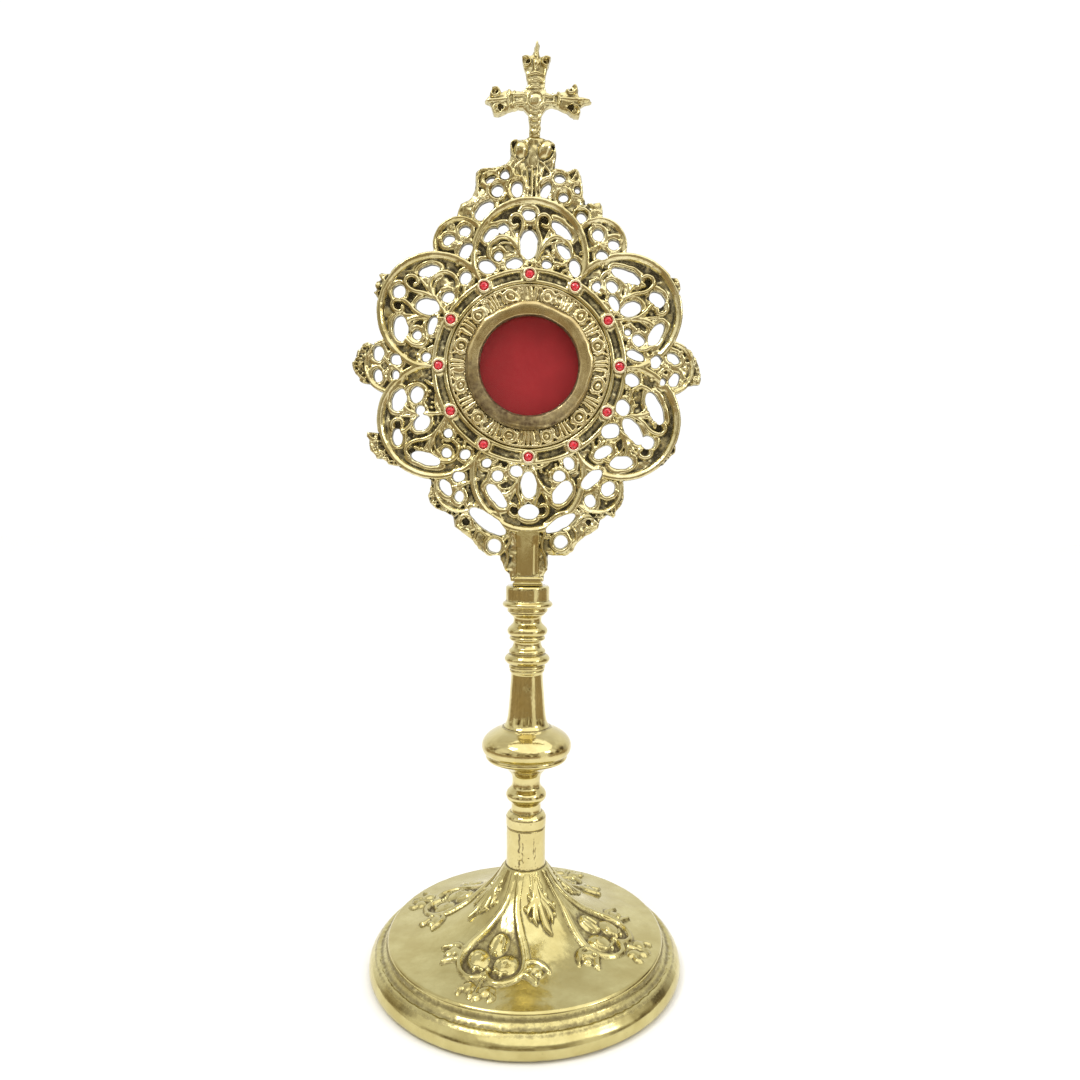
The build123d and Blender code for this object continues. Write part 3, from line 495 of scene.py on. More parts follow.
    # rims of the lobes: flat band, a thin groove, then a slope to the field
    def rim(d, outer, band_w, slope_w, top):
        s = outer - d
        flat = top - 0.15 + 0.45 * np.clip(1 - np.abs(s / band_w * 2 - 1) ** 2.4, 0, 1) - 0.3 * np.clip(1 - s / 0.35, 0, 1) ** 2
        groove = 0.12 * np.exp(-(((s - band_w) / 0.3) ** 2))
        slope = np.clip((s - band_w) / slope_w, 0, 1)
        return np.where(s < 0, -9, np.where(s < band_w, flat, top - slope**1.2 * (top - FIELD))) - groove * (s < band_w + 0.8)

    gate = (rc > 33.4)
    big = rim(large_d + 0.3 * wob, 20.4, 1.95, 1.0, RIM + 0.1)
    big = np.where((20.4 - large_d < 3.4) & gate, big, -9)
    inner_large = large_d < 18.4
    small = rim(small_d + 0.35 * wob, 9.4, 1.3, 0.8, RIM - 0.2)
    small = np.where((9.4 - small_d < 2.2) & (large_d > 20.0), small, -9)
    H = np.maximum(H, np.where(holes > 0.25, small, -9))
    H = np.maximum(H, np.where((holes > 0.15) | ~inner_large, big, -9))

    # stone ring: two ridges with sunk panels between the settings
    ring_zone = (rc < 33.6) & (rc > 19)
    ridge = lambda r0, r1, top: top * np.sqrt(np.clip(1 - ((rc - (r0 + r1) / 2) / ((r1 - r0) / 2)) ** 2, 0, 1))
    wear = 0.12 * value_noise(X, Z, 2.6, 42)
    g = 1.85 + 0.26 * value_noise(X, Z, 1.4, 43) + 0.34 * value_noise(X, Z, 4.0, 44)
    g = smooth_max(g, np.where((rc > 27.8) & (rc < 29.7), 2.1 + wear + ridge(27.8, 29.7, 1.45), -9), 0.12)
    g = smooth_max(g, np.where((rc > 31.7) & (rc < 33.7), 2.1 + wear + ridge(31.7, 33.7, 1.3), -9), 0.12)
    k30 = (ang + 15) % 30 - 15
    from_stone = np.hypot(rc * np.sin(np.radians(k30)), rc * np.cos(np.radians(k30)) - 30.9)
    boss = 3.1 - 1.5 * np.clip((from_stone - 2.5) / 1.5, 0, 1) ** 1.5 + 0.2 * value_noise(X, Z, 1.0, 41)
    g = np.where((rc > 28) & (rc < 33.6), np.maximum(g, boss), g)
    inner = rc < 27.9
    g = np.where(inner, 2.35, g)
    H = np.where(ring_zone, g, H)
    # hammered wear everywhere
    H += 0.05 * value_noise(X, Z, 0.9, 51) + 0.06 * value_noise(X, Z, 2.2, 52)

    # apex: reeds that rise to two rolled leaves
    R.H = H
    for x0, x1, w in ((-2.6, -3.6, 0.55), (-1.1, -1.4, 0.6), (0.5, 0.6, 0.65), (2.0, 2.4, 0.6), (3.4, 4.6, 0.5)):
        R.stroke([(x0, 267.0), (x0 * 0.9 + 0.05, 271.5), (x1, 277.2)], w, 3.1, 1.6, taper=(0.7, 0.5))
    R.blob(0.7, 279.4, 2.4, 2.8, 0, 2.5, 1.7, power=0.35)
    R.blob(-3.3, 282.9, 2.75, 3.3, 12, 4.3, 1.3, power=0.55)
    R.stroke([(-4.2, 279.0), (-5.8, 281.0), (-6.6, 283.6), (-6.2, 285.6), (-4.8, 286.0)], 0.5, 3.0, 1.4, k=0.3)
    R.pit(-5.9, 284.7, 0.6, 0, floor=1.0)
    R.blob(5.0, 283.0, 2.8, 3.7, -28, 4.3, 1.3, power=0.55)
    R.stroke([(4.6, 278.6), (6.6, 279.6), (8.0, 281.6), (8.3, 283.6), (7.4, 285.2), (6.2, 285.9)], 0.5, 3.0, 1.4, k=0.3)
    R.pit(7.6, 283.6, 0.6, 0, floor=1.0)
    for pts in ([(-2.2, 279.8), (-3.8, 278.4), (-5.4, 276.8), (-5.6, 274.4)], [(3.4, 279.0), (5.0, 277.4), (6.4, 275.6), (7.4, 273.6)], [(-6.8, 277.6), (-5.6, 279.4), (-5.0, 281.2)]):
        R.stroke(pts, 0.6, 3.0, 1.4, taper=(0.8, 0.5))
    # crown scrolls either side
    for cx, cz, r, a0, a1 in ((-11.2, 269.5, 3.3, 20, 300), (11.2, 267.3, 3.0, -60, 230), (-13.6, 273.0, 2.4, 40, 260), (17.4, 260.8, 2.7, -40, 200)):
        R.ring(cx, cz, r, 0.7, 3.1, 1.5, arc=(a0, a1))
    for pts in ([(-18.0, 268.0), (-17.9, 272.0), (-17.2, 275.6), (-14.0, 276.4), (-9.4, 277.0)], [(8.6, 276.0), (12.4, 275.2), (15.4, 276.2), (16.6, 273.4), (17.2, 269.2), (17.8, 266.4)], [(-21.2, 264.6), (-19.4, 265.2), (-17.6, 266.0)], [(22.6, 263.8), (20.4, 265.0), (18.6, 266.4)], [(12.8, 271.4), (14.6, 273.4), (15.6, 275.4)], [(12.6, 270.2), (14.0, 268.4), (15.8, 267.0)]):
        R.stroke(pts, 0.62, 3.0, 1.4, crease=0.25, taper=(0.8, 0.7))
    # skirt: ring scrolls, C scrolls and leaf tips beside the tang
    for cx, cz, r in ((-11.7, 148.3, 3.3), (11.3, 149.9, 3.2)):
        R.ring(cx, cz, r, 0.95, 3.3, 1.4)
    for pts in (
        [(-18.8, 155.6), (-19.6, 158.0), (-22.0, 159.0), (-24.4, 157.6), (-24.6, 155.2), (-22.6, 153.6), (-20.0, 153.0)],
        [(17.2, 157.0), (19.2, 158.8), (22.0, 159.0), (24.2, 157.4), (23.8, 155.0), (21.0, 155.0), (19.4, 153.6), (19.2, 151.8)],
        [(-18.6, 151.0), (-17.6, 153.6), (-15.4, 153.2), (-13.2, 152.2)],
        [(16.8, 150.4), (16.6, 153.2), (15.4, 155.0)],
        [(-7.2, 154.0), (-6.2, 150.6), (-7.4, 147.4), (-7.0, 144.0), (-7.8, 140.8)],
        [(6.2, 154.2), (5.2, 150.8), (5.0, 147.6), (6.0, 144.6), (6.4, 141.2)],
        [(-26.8, 159.4), (-29.0, 160.6)], [(26.0, 159.4), (28.0, 160.2)],
    ):
        R.stroke(pts, 0.72, 3.1, 1.3, taper=(0.8, 0.7), k=0.3)
    R.pit(-21.6, 156.6, 1.25, 0, floor=0.7)
    R.pit(21.0, 156.8, 0.9, 0, floor=0.8)
    # the crests are bunches of small leaves folded over the rim
    H = R.H
    on = np.clip(-crest_d / 0.7, 0, 1) * (out < 0.4) * (large_d > 20.0) * (small_d > 9.0)
    leaf = np.abs(value_noise(X, Z, 1.35, 45)) ** 0.6 + 0.45 * np.abs(value_noise(X, Z, 0.85, 46))
    H = np.where(on > 0, np.maximum(1.0, 1.25 + 1.7 * np.sqrt(on) * (1.15 - leaf)), H)
    R.H = H
    # square tang, standing in front of the plate
    H = R.H
    tx = np.abs(X)
    H = np.where((tx < 3.4) & (Z < 153.4), 2.2, H)
    R.H = H

    # cavity: how far each point lies under its surroundings
    solid = (np.maximum(out, -holes) < 0.2)
    fill = np.where(solid, H, 0.9)
    c1 = box_blur(fill, max(1, int(0.5 / step))) - fill
    c2 = box_blur(fill, max(1, int(1.4 / step))) - fill
    low = np.clip((1.75 - H) / 0.7, 0, 1)
    cav = np.clip(0.62 * np.clip(c1 / 0.42, -0.3, 1) + 0.42 * np.clip(c2 / 0.7, -0.5, 1) + 0.42 * low, 0, 1)
    return R, np.maximum(out, -holes), cav

# ------------------------------------------------------------------ cross
def cross_relief(step):
    """Small fleury cross, its arms a little uneven as cast."""
    R = Relief(-17.6, 22.4, 285.6, 320.0, step)
    X, Z = R.X, R.Z
    cx, cz = 1.3, 299.6
    outline = [
        (-0.5, 287.2), (2.9, 287.2), (3.3, 290.6), (3.7, 295.0), (5.0, 297.0), (7.0, 297.7), (9.4, 297.0), (12.4, 295.6),
        (14.6, 294.2), (16.2, 294.0), (16.8, 295.4), (16.3, 297.2), (18.2, 298.5), (20.4, 299.2), (19.4, 299.9), (16.6, 300.6),
        (15.8, 301.6), (16.0, 303.0), (15.3, 304.9), (13.6, 303.8), (12.0, 302.7), (9.4, 302.1), (7.4, 301.6), (5.4, 302.2),
        (4.7, 303.8), (4.9, 307.4), (5.6, 310.4), (6.6, 313.8), (5.0, 314.1), (3.0, 314.0), (2.5, 315.4), (2.75, 317.6), (2.2, 318.9),
        (1.6, 318.8), (1.0, 316.9), (0.4, 314.5), (-1.4, 314.0), (-3.2, 313.5), (-2.8, 311.4), (-1.9, 308.4), (-1.3, 304.6),
        (-2.0, 303.0), (-4.0, 302.4), (-7.6, 302.9), (-10.2, 302.2), (-11.4, 303.7), (-13.0, 303.3), (-13.9, 301.4), (-15.0, 300.2),
        (-15.7, 299.1), (-14.0, 298.2), (-13.2, 296.6), (-12.8, 294.8), (-11.0, 294.6), (-8.8, 295.7), (-5.2, 296.8), (-2.6, 297.0),
        (-0.9, 295.0), (-0.6, 291.4),
    ]
    out = polygon_distance(X, Z, outline) + 0.16 * value_noise(X, Z, 1.1, 61)
    R.H[:] = 1.5 + 0.7 * np.sqrt(np.clip(-out / 1.3, 0, 1)) + 0.16 * value_noise(X, Z, 1.1, 62)
    # boss in its collar
    R.ring(cx + 0.1, cz, 2.75, 0.5, 2.6, 1.6, k=0.3)
    R.blob(cx + 0.2, cz - 0.1, 2.3, 2.3, 0, 3.1, 1.7, power=0.4)
    # arms: knots and short reeds towards each end
    for pts, w in (
        ([(4.4, 300.9), (6.4, 300.6), (8.4, 300.9)], 0.75), ([(4.4, 298.4), (6.6, 298.6), (8.6, 298.2)], 0.75), ([(-2.0, 301.1), (-4.6, 300.9), (-6.4, 301.2)], 0.75),
        ([(-1.8, 298.2), (-4.4, 298.4), (-6.4, 298.0)], 0.75), ([(9.2, 301.9), (9.6, 300.0), (9.2, 297.6)], 0.8), ([(7.4, 301.4), (7.7, 299.8), (7.4, 298.0)], 0.55),
        ([(-7.4, 302.4), (-7.8, 300.0), (-7.4, 297.0)], 0.85), ([(-5.6, 302.2), (-5.9, 300.0), (-5.6, 297.4)], 0.55),
        ([(0.0, 303.4), (1.6, 303.9), (3.4, 303.3)], 0.7), ([(-0.6, 305.4), (1.6, 306.0), (3.9, 305.2)], 0.75), ([(-0.9, 307.6), (1.6, 308.3), (4.3, 307.4)], 0.8),
        ([(0.0, 295.6), (1.5, 295.1), (2.9, 295.7)], 0.7), ([(-0.1, 293.4), (1.4, 292.8), (3.0, 293.5)], 0.7), ([(-0.1, 291.2), (1.4, 290.7), (2.9, 291.3)], 0.65), ([(0.0, 289.0), (1.4, 288.5), (2.8, 289.1)], 0.6),
        ([(10.4, 299.9), (13.6, 299.7), (17.0, 299.6), (19.6, 299.4)], 1.0), ([(-8.6, 299.6), (-11.6, 299.3), (-15.0, 299.0)], 1.0),
        ([(1.2, 309.2), (1.5, 312.0), (1.8, 315.0), (1.9, 318.4)], 0.95),
    ):
        R.stroke(pts, w, 2.85, 1.5, taper=(0.75, 0.45), k=0.3)
    # leaf ends rolled round an eye
    for px, pz, r in ((13.6, 303.2, 1.5), (14.6, 296.0, 1.7), (-12.2, 302.0, 1.4), (-11.2, 296.2, 1.6), (-2.0, 312.2, 1.5), (5.2, 312.0, 1.4)):
        R.ring(px, pz, r, 0.72, 3.0, 1.6, k=0.25)
    for px, pz, rx, rz in ((16.8, 299.4, 1.5, 1.0), (-13.8, 299.1, 1.3, 1.0), (1.7, 311.4, 1.3, 1.1), (1.5, 313.6, 0.9, 0.7)):
        R.blob(px, pz, rx, rz, 0, 3.05, 1.8, power=0.55)
    for px, pz, r, deep in ((13.3, 302.9, 0.6, 1.5), (13.4, 296.9, 1.05, 0.8), (-11.5, 301.9, 0.5, 1.5), (-10.2, 296.9, 0.95, 0.8), (-1.1, 311.9, 0.7, 1.2), (4.6, 311.8, 0.55, 1.5), (16.4, 297.7, 0.45, 1.3)):
        R.pit(px, pz, r, 0, floor=deep)
    H = R.H + 0.05 * value_noise(X, Z, 0.8, 63)
    R.H = H
    fill = np.where(out < 0.1, H, 1.2)
    c1 = box_blur(fill, max(1, int(0.45 / step))) - fill
    c2 = box_blur(fill, max(1, int(1.1 / step))) - fill
    cav = np.clip(0.8 * np.clip(c1 / 0.4, -0.3, 1) + 0.4 * np.clip(c2 / 0.6, -0.4, 1) + 0.7 * np.clip((1.25 - H) / 0.5, 0, 1), 0, 1)
    return R, out, cav


# ------------------------------------------------------------------ band
BAND_R = 24.3


def band_relief(step):
    """Egg-and-reed band, unrolled: x runs round the window, z is the radius."""
    length = 2 * math.pi * BAND_R
    R = Relief(-8.0, length + 8.0, 20.3, 28.1, step)
    X, Z = R.X, R.Z
    r = Z
    R.H[:] = 2.95 + 0.2 * value_noise(X, Z, 1.4, 71)
    pitch = length / 12
    for k in range(-1, 14):
        for copy in (0,):
            c = (k + 0.5) * pitch + 0.25 * math.sin(2.3 * (k % 12))
            worn = 1.0 - 0.28 * (k % 12 in (0, 11)) + 0.06 * math.cos(1.7 * (k % 12))
            top = 3.05 + 1.3 * worn
            # the egg in its ring
            R.ring(c, 24.35, 2.05, 0.8, top, 2.9, k=0.35)
            R.blob(c, 24.45, 1.3, 1.4, 0, 2.95 + 0.95 * worn, 2.7, k=0.3, power=0.6)
            R.stroke([(c - 3.0, 26.6), (c - 2.3, 25.2), (c - 2.7, 23.6), (c - 2.0, 22.2)], 0.6, top - 0.15, 2.9, taper=(0.8, 0.6))
            R.stroke([(c + 3.0, 26.6), (c + 2.3, 25.2), (c + 2.7, 23.6), (c + 2.0, 22.2)], 0.6, top - 0.15, 2.9, taper=(0.8, 0.6))
            # reeds between two eggs
            m = k * pitch + 0.3 * math.cos(1.9 * (k % 12))
            for q in (-1.5, 0.0, 1.5):
                R.stroke([(m + q * 1.05, 26.5), (m + q, 24.4), (m + q * 0.85, 22.1)], 0.8, top - 0.05 * abs(q), 2.9, taper=(0.85, 0.8), k=0.3)
            for q in (-2.6, 2.6):
                R.blob(m + q, 26.4, 0.75, 0.6, 30, top, 2.9)
                R.blob(m + q, 22.1, 0.6, 0.5, 30, top - 0.2, 2.9)
    H = R.H
    # both edges of the band
    H = np.maximum(H, np.where(r > 26.9, 3.45 + 0.35 * np.sqrt(np.clip(1 - ((r - 27.35) / 0.45) ** 2, 0, 1)), -9))
    H = np.where(r < 21.7, 3.9 + 0.05 * value_noise(X, Z, 2.0, 72), H)
    H = np.minimum(H, 4.35)
    worn = np.clip(0.80 + 0.42 * value_noise(X, Z, 6.5, 77), 0.35, 1.08)
    H = np.where((r > 21.7) & (r < 26.9), 3.05 + (H - 3.05) * worn, H)
    H += 0.08 * value_noise(X, Z, 0.8, 73) + 0.10 * value_noise(X, Z, 1.5, 78)
    R.H = H
    c1 = box_blur(H, max(1, int(0.4 / step))) - H
    c2 = box_blur(H, max(1, int(1.0 / step))) - H
    cav = np.clip(0.6 * np.clip(c1 / 0.42, -0.3, 1) + 0.35 * np.clip(c2 / 0.6, -0.5, 1) + 0.25 * np.clip((3.1 - H) / 0.5, 0, 1), 0, 1)
    return R, cav


# ------------------------------------------------------------------ foot
def foot_ornament(step):
    """One of the four large ornaments, unrolled: x across, z outwards from the stem. Heights are above the plain foot."""
    R = Relief(-24.0, 24.0, 6.5, 49.0, step)
    X, Z = R.X, R.Z
    frame = [(1.1, 8.0), (1.5, 11.5), (2.6, 15.0), (5.6, 20.0), (8.8, 25.0), (10.9, 29.6), (11.0, 33.2), (9.0, 36.2), (5.4, 37.7), (2.2, 37.0), (0.0, 34.9)]
    both = [(v, u) for v, u in frame[2:]] + [(-v, u) for v, u in frame[2:][::-1]]
    loop = curve_through(both[:9], 6).tolist() + curve_through(both[9:], 6).tolist()
    inside = polygon_distance(X, Z, loop)
    sunk = np.clip(-inside / 1.2, 0, 1) * np.clip((Z - 15.6) / 6.0, 0, 1)
    R.H -= 0.55 * sunk * sunk * (3 - 2 * sunk)
    R.H += 0.10 * sunk * value_noise(X, Z, 1.2, 81)
    for s in (-1, 1):
        m = lambda pts: [(s * v, u) for v, u in pts]
        R.stroke(m(frame), 1.0, 1.1, -0.15, crease=0.0, k=0.4)
        R.stroke(m([(v + (0.95 if 3 <= i <= 7 else 0.75), u) for i, (v, u) in enumerate(frame[:8])]), 0.5, 0.95, -0.1, k=0.2, taper=(1.0, 0.5))
        R.stroke(m([(v - 0.72, u - (0.5 if i > 7 else 0)) for i, (v, u) in enumerate(frame[2:9])]), 0.42, 1.0, -0.2, k=0.2, taper=(0.6, 0.5))
        # side leaf with its scroll
        R.blob(s * 14.3, 31.8, 3.3, 2.1, s * 12, 1.15, -0.1, k=0.3, power=0.6)
        R.stroke(m([(11.4, 29.4), (14.0, 29.2), (17.2, 31.0), (20.3, 33.6)]), 0.8, 1.25, -0.1, taper=(0.8, 0.25), k=0.3)
        R.stroke(m([(12.4, 33.4), (14.4, 34.6), (16.4, 36.2), (17.2, 37.4)]), 0.95, 1.15, -0.1, taper=(0.8, 0.3), k=0.3)
        R.ring(s * 13.2, 33.0, 1.15, 0.5, 1.2, 0.0)
        R.pit(s * 13.2, 33.0, 0.55, 0, floor=-0.2)
        R.blob(s * 16.6, 33.6, 1.7, 1.3, 25 * s, 1.2, 0.0, k=0.35, power=0.6)
        # leaf hanging below the frame
        R.blob(s * 2.9, 41.4, 2.6, 2.2, -s * 24, 1.25, -0.1, k=0.3, power=0.6)
        R.stroke(m([(4.2, 41.8), (5.6, 43.4), (5.2, 45.2)]), 0.8, 1.0, -0.1, taper=(0.8, 0.3), k=0.3)
        R.blob(s * 1.3, 44.0, 1.1, 1.7, s * 14, 1.15, -0.1, k=0.3, power=0.6)
        # berries in the frame
        R.blob(s * 4.9, 30.6, 4.1, 3.9, 0, 1.0, -0.5, k=0.35, power=0.75)
        R.ring(s * 4.7, 30.9, 3.0, 0.42, 1.18, 0.3, arc=(60, 210))
        R.ring(s * 4.8, 30.6, 1.5, 0.36, 1.22, 0.5, arc=(200, 330))
        for v, u, r in ((4.6, 34.6, 0.6), (2.2, 33.6, 0.6)):
            R.blob(s * v, u, r, r * 0.8, 0, 1.0, -0.2)
    R.blob(0, 24.3, 3.5, 3.9, 0, 0.95, -0.5, k=0.35, power=0.75)
    R.stroke([(-2.2, 25.8), (-1.7, 22.8), (0, 21.4), (1.7, 22.8), (2.2, 25.8)], 0.5, 1.2, 0.1)
    R.stroke([(0, 21.6), (0.1, 24.0), (0, 26.6)], 0.45, 1.1, 0.3)
    for v, u, r in ((0, 27.4, 0.8), (0, 36.4, 1.0), (0, 33.2, 1.0)):
        R.blob(v, u, r, r, 0, 1.2, -0.1)
    R.stroke([(0, 38.2), (0.1, 42.0), (0.2, 46.2)], 0.6, 1.05, -0.1, taper=(0.9, 0.2), k=0.2)
    # the frame grows out of the neck as two fine lines
    H = R.H * (0.30 + 0.70 * np.clip((Z - 9.0) / 9.0, 0, 1) ** 0.8) * 0.92
    H += 0.05 * value_noise(X, Z, 0.9, 82) * (np.abs(H) > 0.02)
    R.H = H
    c1 = box_blur(H, max(1, int(0.5 / step))) - H
    c2 = box_blur(H, max(1, int(1.3 / step))) - H
    cav = np.clip(0.8 * np.clip(c1 / 0.4, 0, 1) + 0.4 * np.clip(c2 / 0.6, 0, 1) + 0.42 * np.clip((-0.12 - H) / 0.3, 0, 1), 0, 1)
    return R, cav


def foot_cluster(step):
    """One of the four small leaf clusters that hang from the neck."""
    R = Relief(-9.0, 9.0, 6.5, 24.0, step)
    for s in (-1, 1):
        m = lambda pts: [(s * v, u) for v, u in pts]
        R.stroke(m([(0.5, 9.0), (1.0, 11.0), (2.1, 12.8), (3.8, 14.0), (5.0, 15.6)]), 0.8, 1.0, -0.1, taper=(0.5, 0.35), k=0.35)
        R.stroke(m([(0.9, 12.6), (2.2, 14.6), (3.0, 16.6), (2.8, 18.2)]), 0.95, 1.15, -0.1, taper=(0.7, 0.3), k=0.35)
        R.stroke(m([(0.7, 12.6), (1.7, 15.2), (1.9, 17.4)]), 0.5, 1.2, 0.2, taper=(0.6, 0.4))
        for v, u, r in ((3.0, 11.9, 0.8), (1.9, 10.4, 0.6), (5.2, 14.4, 0.75), (4.4, 16.6, 0.65), (1.5, 12.0, 0.65)):
            R.blob(s * v, u, r, r * 0.85, 25, 1.1, 0.0, k=0.3)
    R.stroke([(0, 10.0), (0, 13.0), (0.1, 16.8), (0.5, 19.6), (1.1, 21.6)], 1.35, 1.3, -0.1, taper=(0.5, 0.2), k=0.35)
    R.stroke([(0, 13.0), (0.1, 16.0), (0.5, 19.0)], 0.35, 1.4, 0.6, taper=(0.8, 0.4))
    # fine reeds at the neck
    for v in (-1.7, -0.6, 0.6, 1.7):
        R.stroke([(v * 0.8, 7.2), (v * 0.85, 9.0), (v * 1.1, 11.6)], 0.3, 0.5, -0.05, taper=(0.9, 0.4), k=0.3)
    H = R.H * (0.35 + 0.65 * np.clip((R.Z - 9.0) / 5.0, 0, 1))
    R.H = H
    c1 = box_blur(H, max(1, int(0.5 / step))) - H
    c2 = box_blur(H, max(1, int(1.2 / step))) - H
    return R, np.clip(0.8 * np.clip(c1 / 0.4, 0, 1) + 0.4 * np.clip(c2 / 0.6, 0, 1), 0, 1)

# ------------------------------------------------------------------ meshes
MM = 0.001


def make_mesh(name, points_mm, faces, smooth=True):
    """A Blender mesh from points in millimetres and an array of faces."""
    me = bpy.data.meshes.new(name)
    pts = np.asarray(points_mm, np.float32) * MM
    faces = np.asarray(faces, np.int32)
    n, k = faces.shape
    me.vertices.add(len(pts))
    me.vertices.foreach_set("co", pts.ravel())
    me.loops.add(n * k)
    me.loops.foreach_set("vertex_index", faces.ravel())
    me.polygons.add(n)
    me.polygons.foreach_set("loop_start", np.arange(0, n * k, k, dtype=np.int32))
    me.polygons.foreach_set("use_smooth", np.full(n, smooth))
    me.update(calc_edges=True)
    me.validate()
    return me


def put(name, me, body="root"):
    o = bpy.data.objects.new(name, me)
    bpy.context.scene.collection.objects.link(o)
    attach(o, body)
    return o


def mesh_points(me):
    co = np.empty(len(me.vertices) * 3, np.float32)
    me.vertices.foreach_get("co", co)
    return co.reshape(-1, 3).astype(float) / MM


def mesh_normals(me):
    no = np.empty(len(me.vertices) * 3, np.float32)
    me.vertex_normals.foreach_get("vector", no)
    return no.reshape(-1, 3).astype(float)


def set_attribute(me, name, values):
    a = me.attributes.get(name) or me.attributes.new(name, "FLOAT", "POINT")
    a.data.foreach_set("value", np.clip(values, 0, 1).astype(np.float32))


def thin_out(me, ratio):
    """Collapses the flattest edges first, down to the given share of the faces."""
    tmp = bpy.data.objects.new("tmp_thin", me)
    bpy.context.scene.collection.objects.link(tmp)
    mod = tmp.modifiers.new("thin", "DECIMATE")
    mod.ratio = ratio
    dg = bpy.context.evaluated_depsgraph_get()
    out = bpy.data.meshes.new_from_object(tmp.evaluated_get(dg), depsgraph=dg)
    bpy.data.objects.remove(tmp)
    bpy.data.meshes.remove(me)
    out.polygons.foreach_set("use_smooth", np.full(len(out.polygons), True))
    out.update()
    return out


def volume_of(pts, faces):
    f = np.asarray(faces)
    a, b, c = pts[f[:, 0]], pts[f[:, 1]], pts[f[:, 2]]
    v = np.einsum("ij,ij->i", a, np.cross(b, c)).sum()
    if f.shape[1] == 4:
        d = pts[f[:, 3]]
        v += np.einsum("ij,ij->i", a, np.cross(c, d)).sum()
    return v / 6


def outward(pts, faces):
    return faces if volume_of(pts, faces) > 0 else np.asarray(faces)[:, ::-1]


def plate_mesh(R, plan, back, y_lo, y_hi, y_step, soft, budget, rear=None, front_extra=None):
    """Closed mesh of a casting from its plan, its front height and its back depth. Returns the mesh, thinned to about budget triangles."""
    ys = np.arange(y_lo, y_hi + y_step / 2, y_step)
    F = plan.astype(np.float32)[:, None, :]
    Hf = R.H.astype(np.float32)[:, None, :]
    Y = ys.astype(np.float32)[None, :, None]
    front = -Y - Hf
    rear_face = Y - (back if np.isscalar(back) else back.astype(np.float32)[:, None, :])
    face = np.maximum(front, rear_face)
    h = np.clip(0.5 + 0.5 * (face - F) / soft, 0, 1)
    V = F + (face - F) * h + soft * h * (1 - h)
    if front_extra is not None:
        V = front_extra(V, ys)
    pts, quads = surface_net(V, R.x, ys, R.z)
    quads = outward(pts, quads)
    me = make_mesh("plate", pts, quads)
    tris = 2 * len(quads)
    return thin_out(me, min(1.0, budget / tris)) if tris > budget else me


def lathe(loop, count, at, offset=None):
    """Turns a closed loop of (radius, height) points. at(r, h, angle) gives the point; offset(k, angle) gives each loop point's radius and height change."""
    loop = np.array(loop, float)
    a = np.arange(count) * 2 * math.pi / count
    A, K = np.meshgrid(a, np.arange(len(loop)), indexing="ij")
    r, h = loop[K, 0], loop[K, 1]
    if offset is not None:
        dr, dh = offset(K, A, r, h)
        r, h = r + dr, h + dh
    pts = at(r.ravel(), h.ravel(), A.ravel())
    i = np.arange(count)[:, None]
    k = np.arange(len(loop))[None, :]
    n = len(loop)
    i2, k2 = (i + 1) % count, (k + 1) % n
    faces = np.stack([(i * n + k), (i2 * n + k), (i2 * n + k2), (i * n + k2)], -1).reshape(-1, 4)
    return pts, outward(pts, faces), A.ravel(), K.ravel()


def upright(r, h, a):
    """A lathe standing on the floor: angle 0 faces the front and grows towards +X."""
    return np.stack([r * np.sin(a), -r * np.cos(a), h], 1)


def facing(r, h, a, cx=0.0, cz=HEAD_Z):
    """A lathe about the head's own axis: h is the distance in front of the stem's axis, angle 0 is up."""
    return np.stack([cx + r * np.sin(a), -h, cz + r * np.cos(a)], 1)


def spaced(points, gap):
    """Points along straight runs, no further apart than gap."""
    out = []
    for a, b in zip(points[:-1], points[1:]):
        n = max(1, int(math.ceil(math.dist(a, b) / gap)))
        out += [(a[0] + (b[0] - a[0]) * t / n, a[1] + (b[1] - a[1]) * t / n) for t in range(n)]
    out.append(tuple(points[-1]))
    return out


def smooth_run(points, gap):
    """Points along a smooth line through the given ones, about gap apart."""
    c = curve_through(points, 12)
    d = np.concatenate([[0], np.cumsum(np.hypot(*np.diff(c, axis=0).T))])
    n = max(2, int(round(d[-1] / gap)))
    t = np.linspace(0, d[-1], n + 1)
    return list(zip(np.interp(t, d, c[:, 0]), np.interp(t, d, c[:, 1])))

# ------------------------------------------------------------------ rosette
def build_rosette():
    step = 0.26
    R, plan, cav = rosette_relief(step)
    back = 0.8 + 0.10 * value_noise(R.X, R.Z, 3.0, 91) - 0.12
    me = plate_mesh(R, plan, back, -4.9, 1.7, 0.3, 0.35, 190000)
    p = mesh_points(me)
    n = mesh_normals(me)
    front = np.clip(-n[:, 1] * 1.6 - 0.1, 0, 1)
    top = sample_map(R.H, R.x[0], R.z[0], step, p[:, 0], p[:, 2])
    local = sample_map(cav, R.x[0], R.z[0], step, p[:, 0], p[:, 2])
    # painted shade: the walls of the openings and the outer edges get darker the deeper they lie behind the front face
    below = np.clip((top + p[:, 1]) / 2.2, 0, 1)
    painted_wall_shade = np.clip(0.35 + 0.75 * below, 0, 1)
    rear = np.clip(n[:, 1], 0, 1)
    v = local * front + painted_wall_shade * (1 - front) * (1 - rear) + (0.32 + 0.2 * value_noise(p[:, 0], p[:, 2], 4.0, 92)) * rear
    set_attribute(me, "cav", v)
    return put("rosette_casting", me)


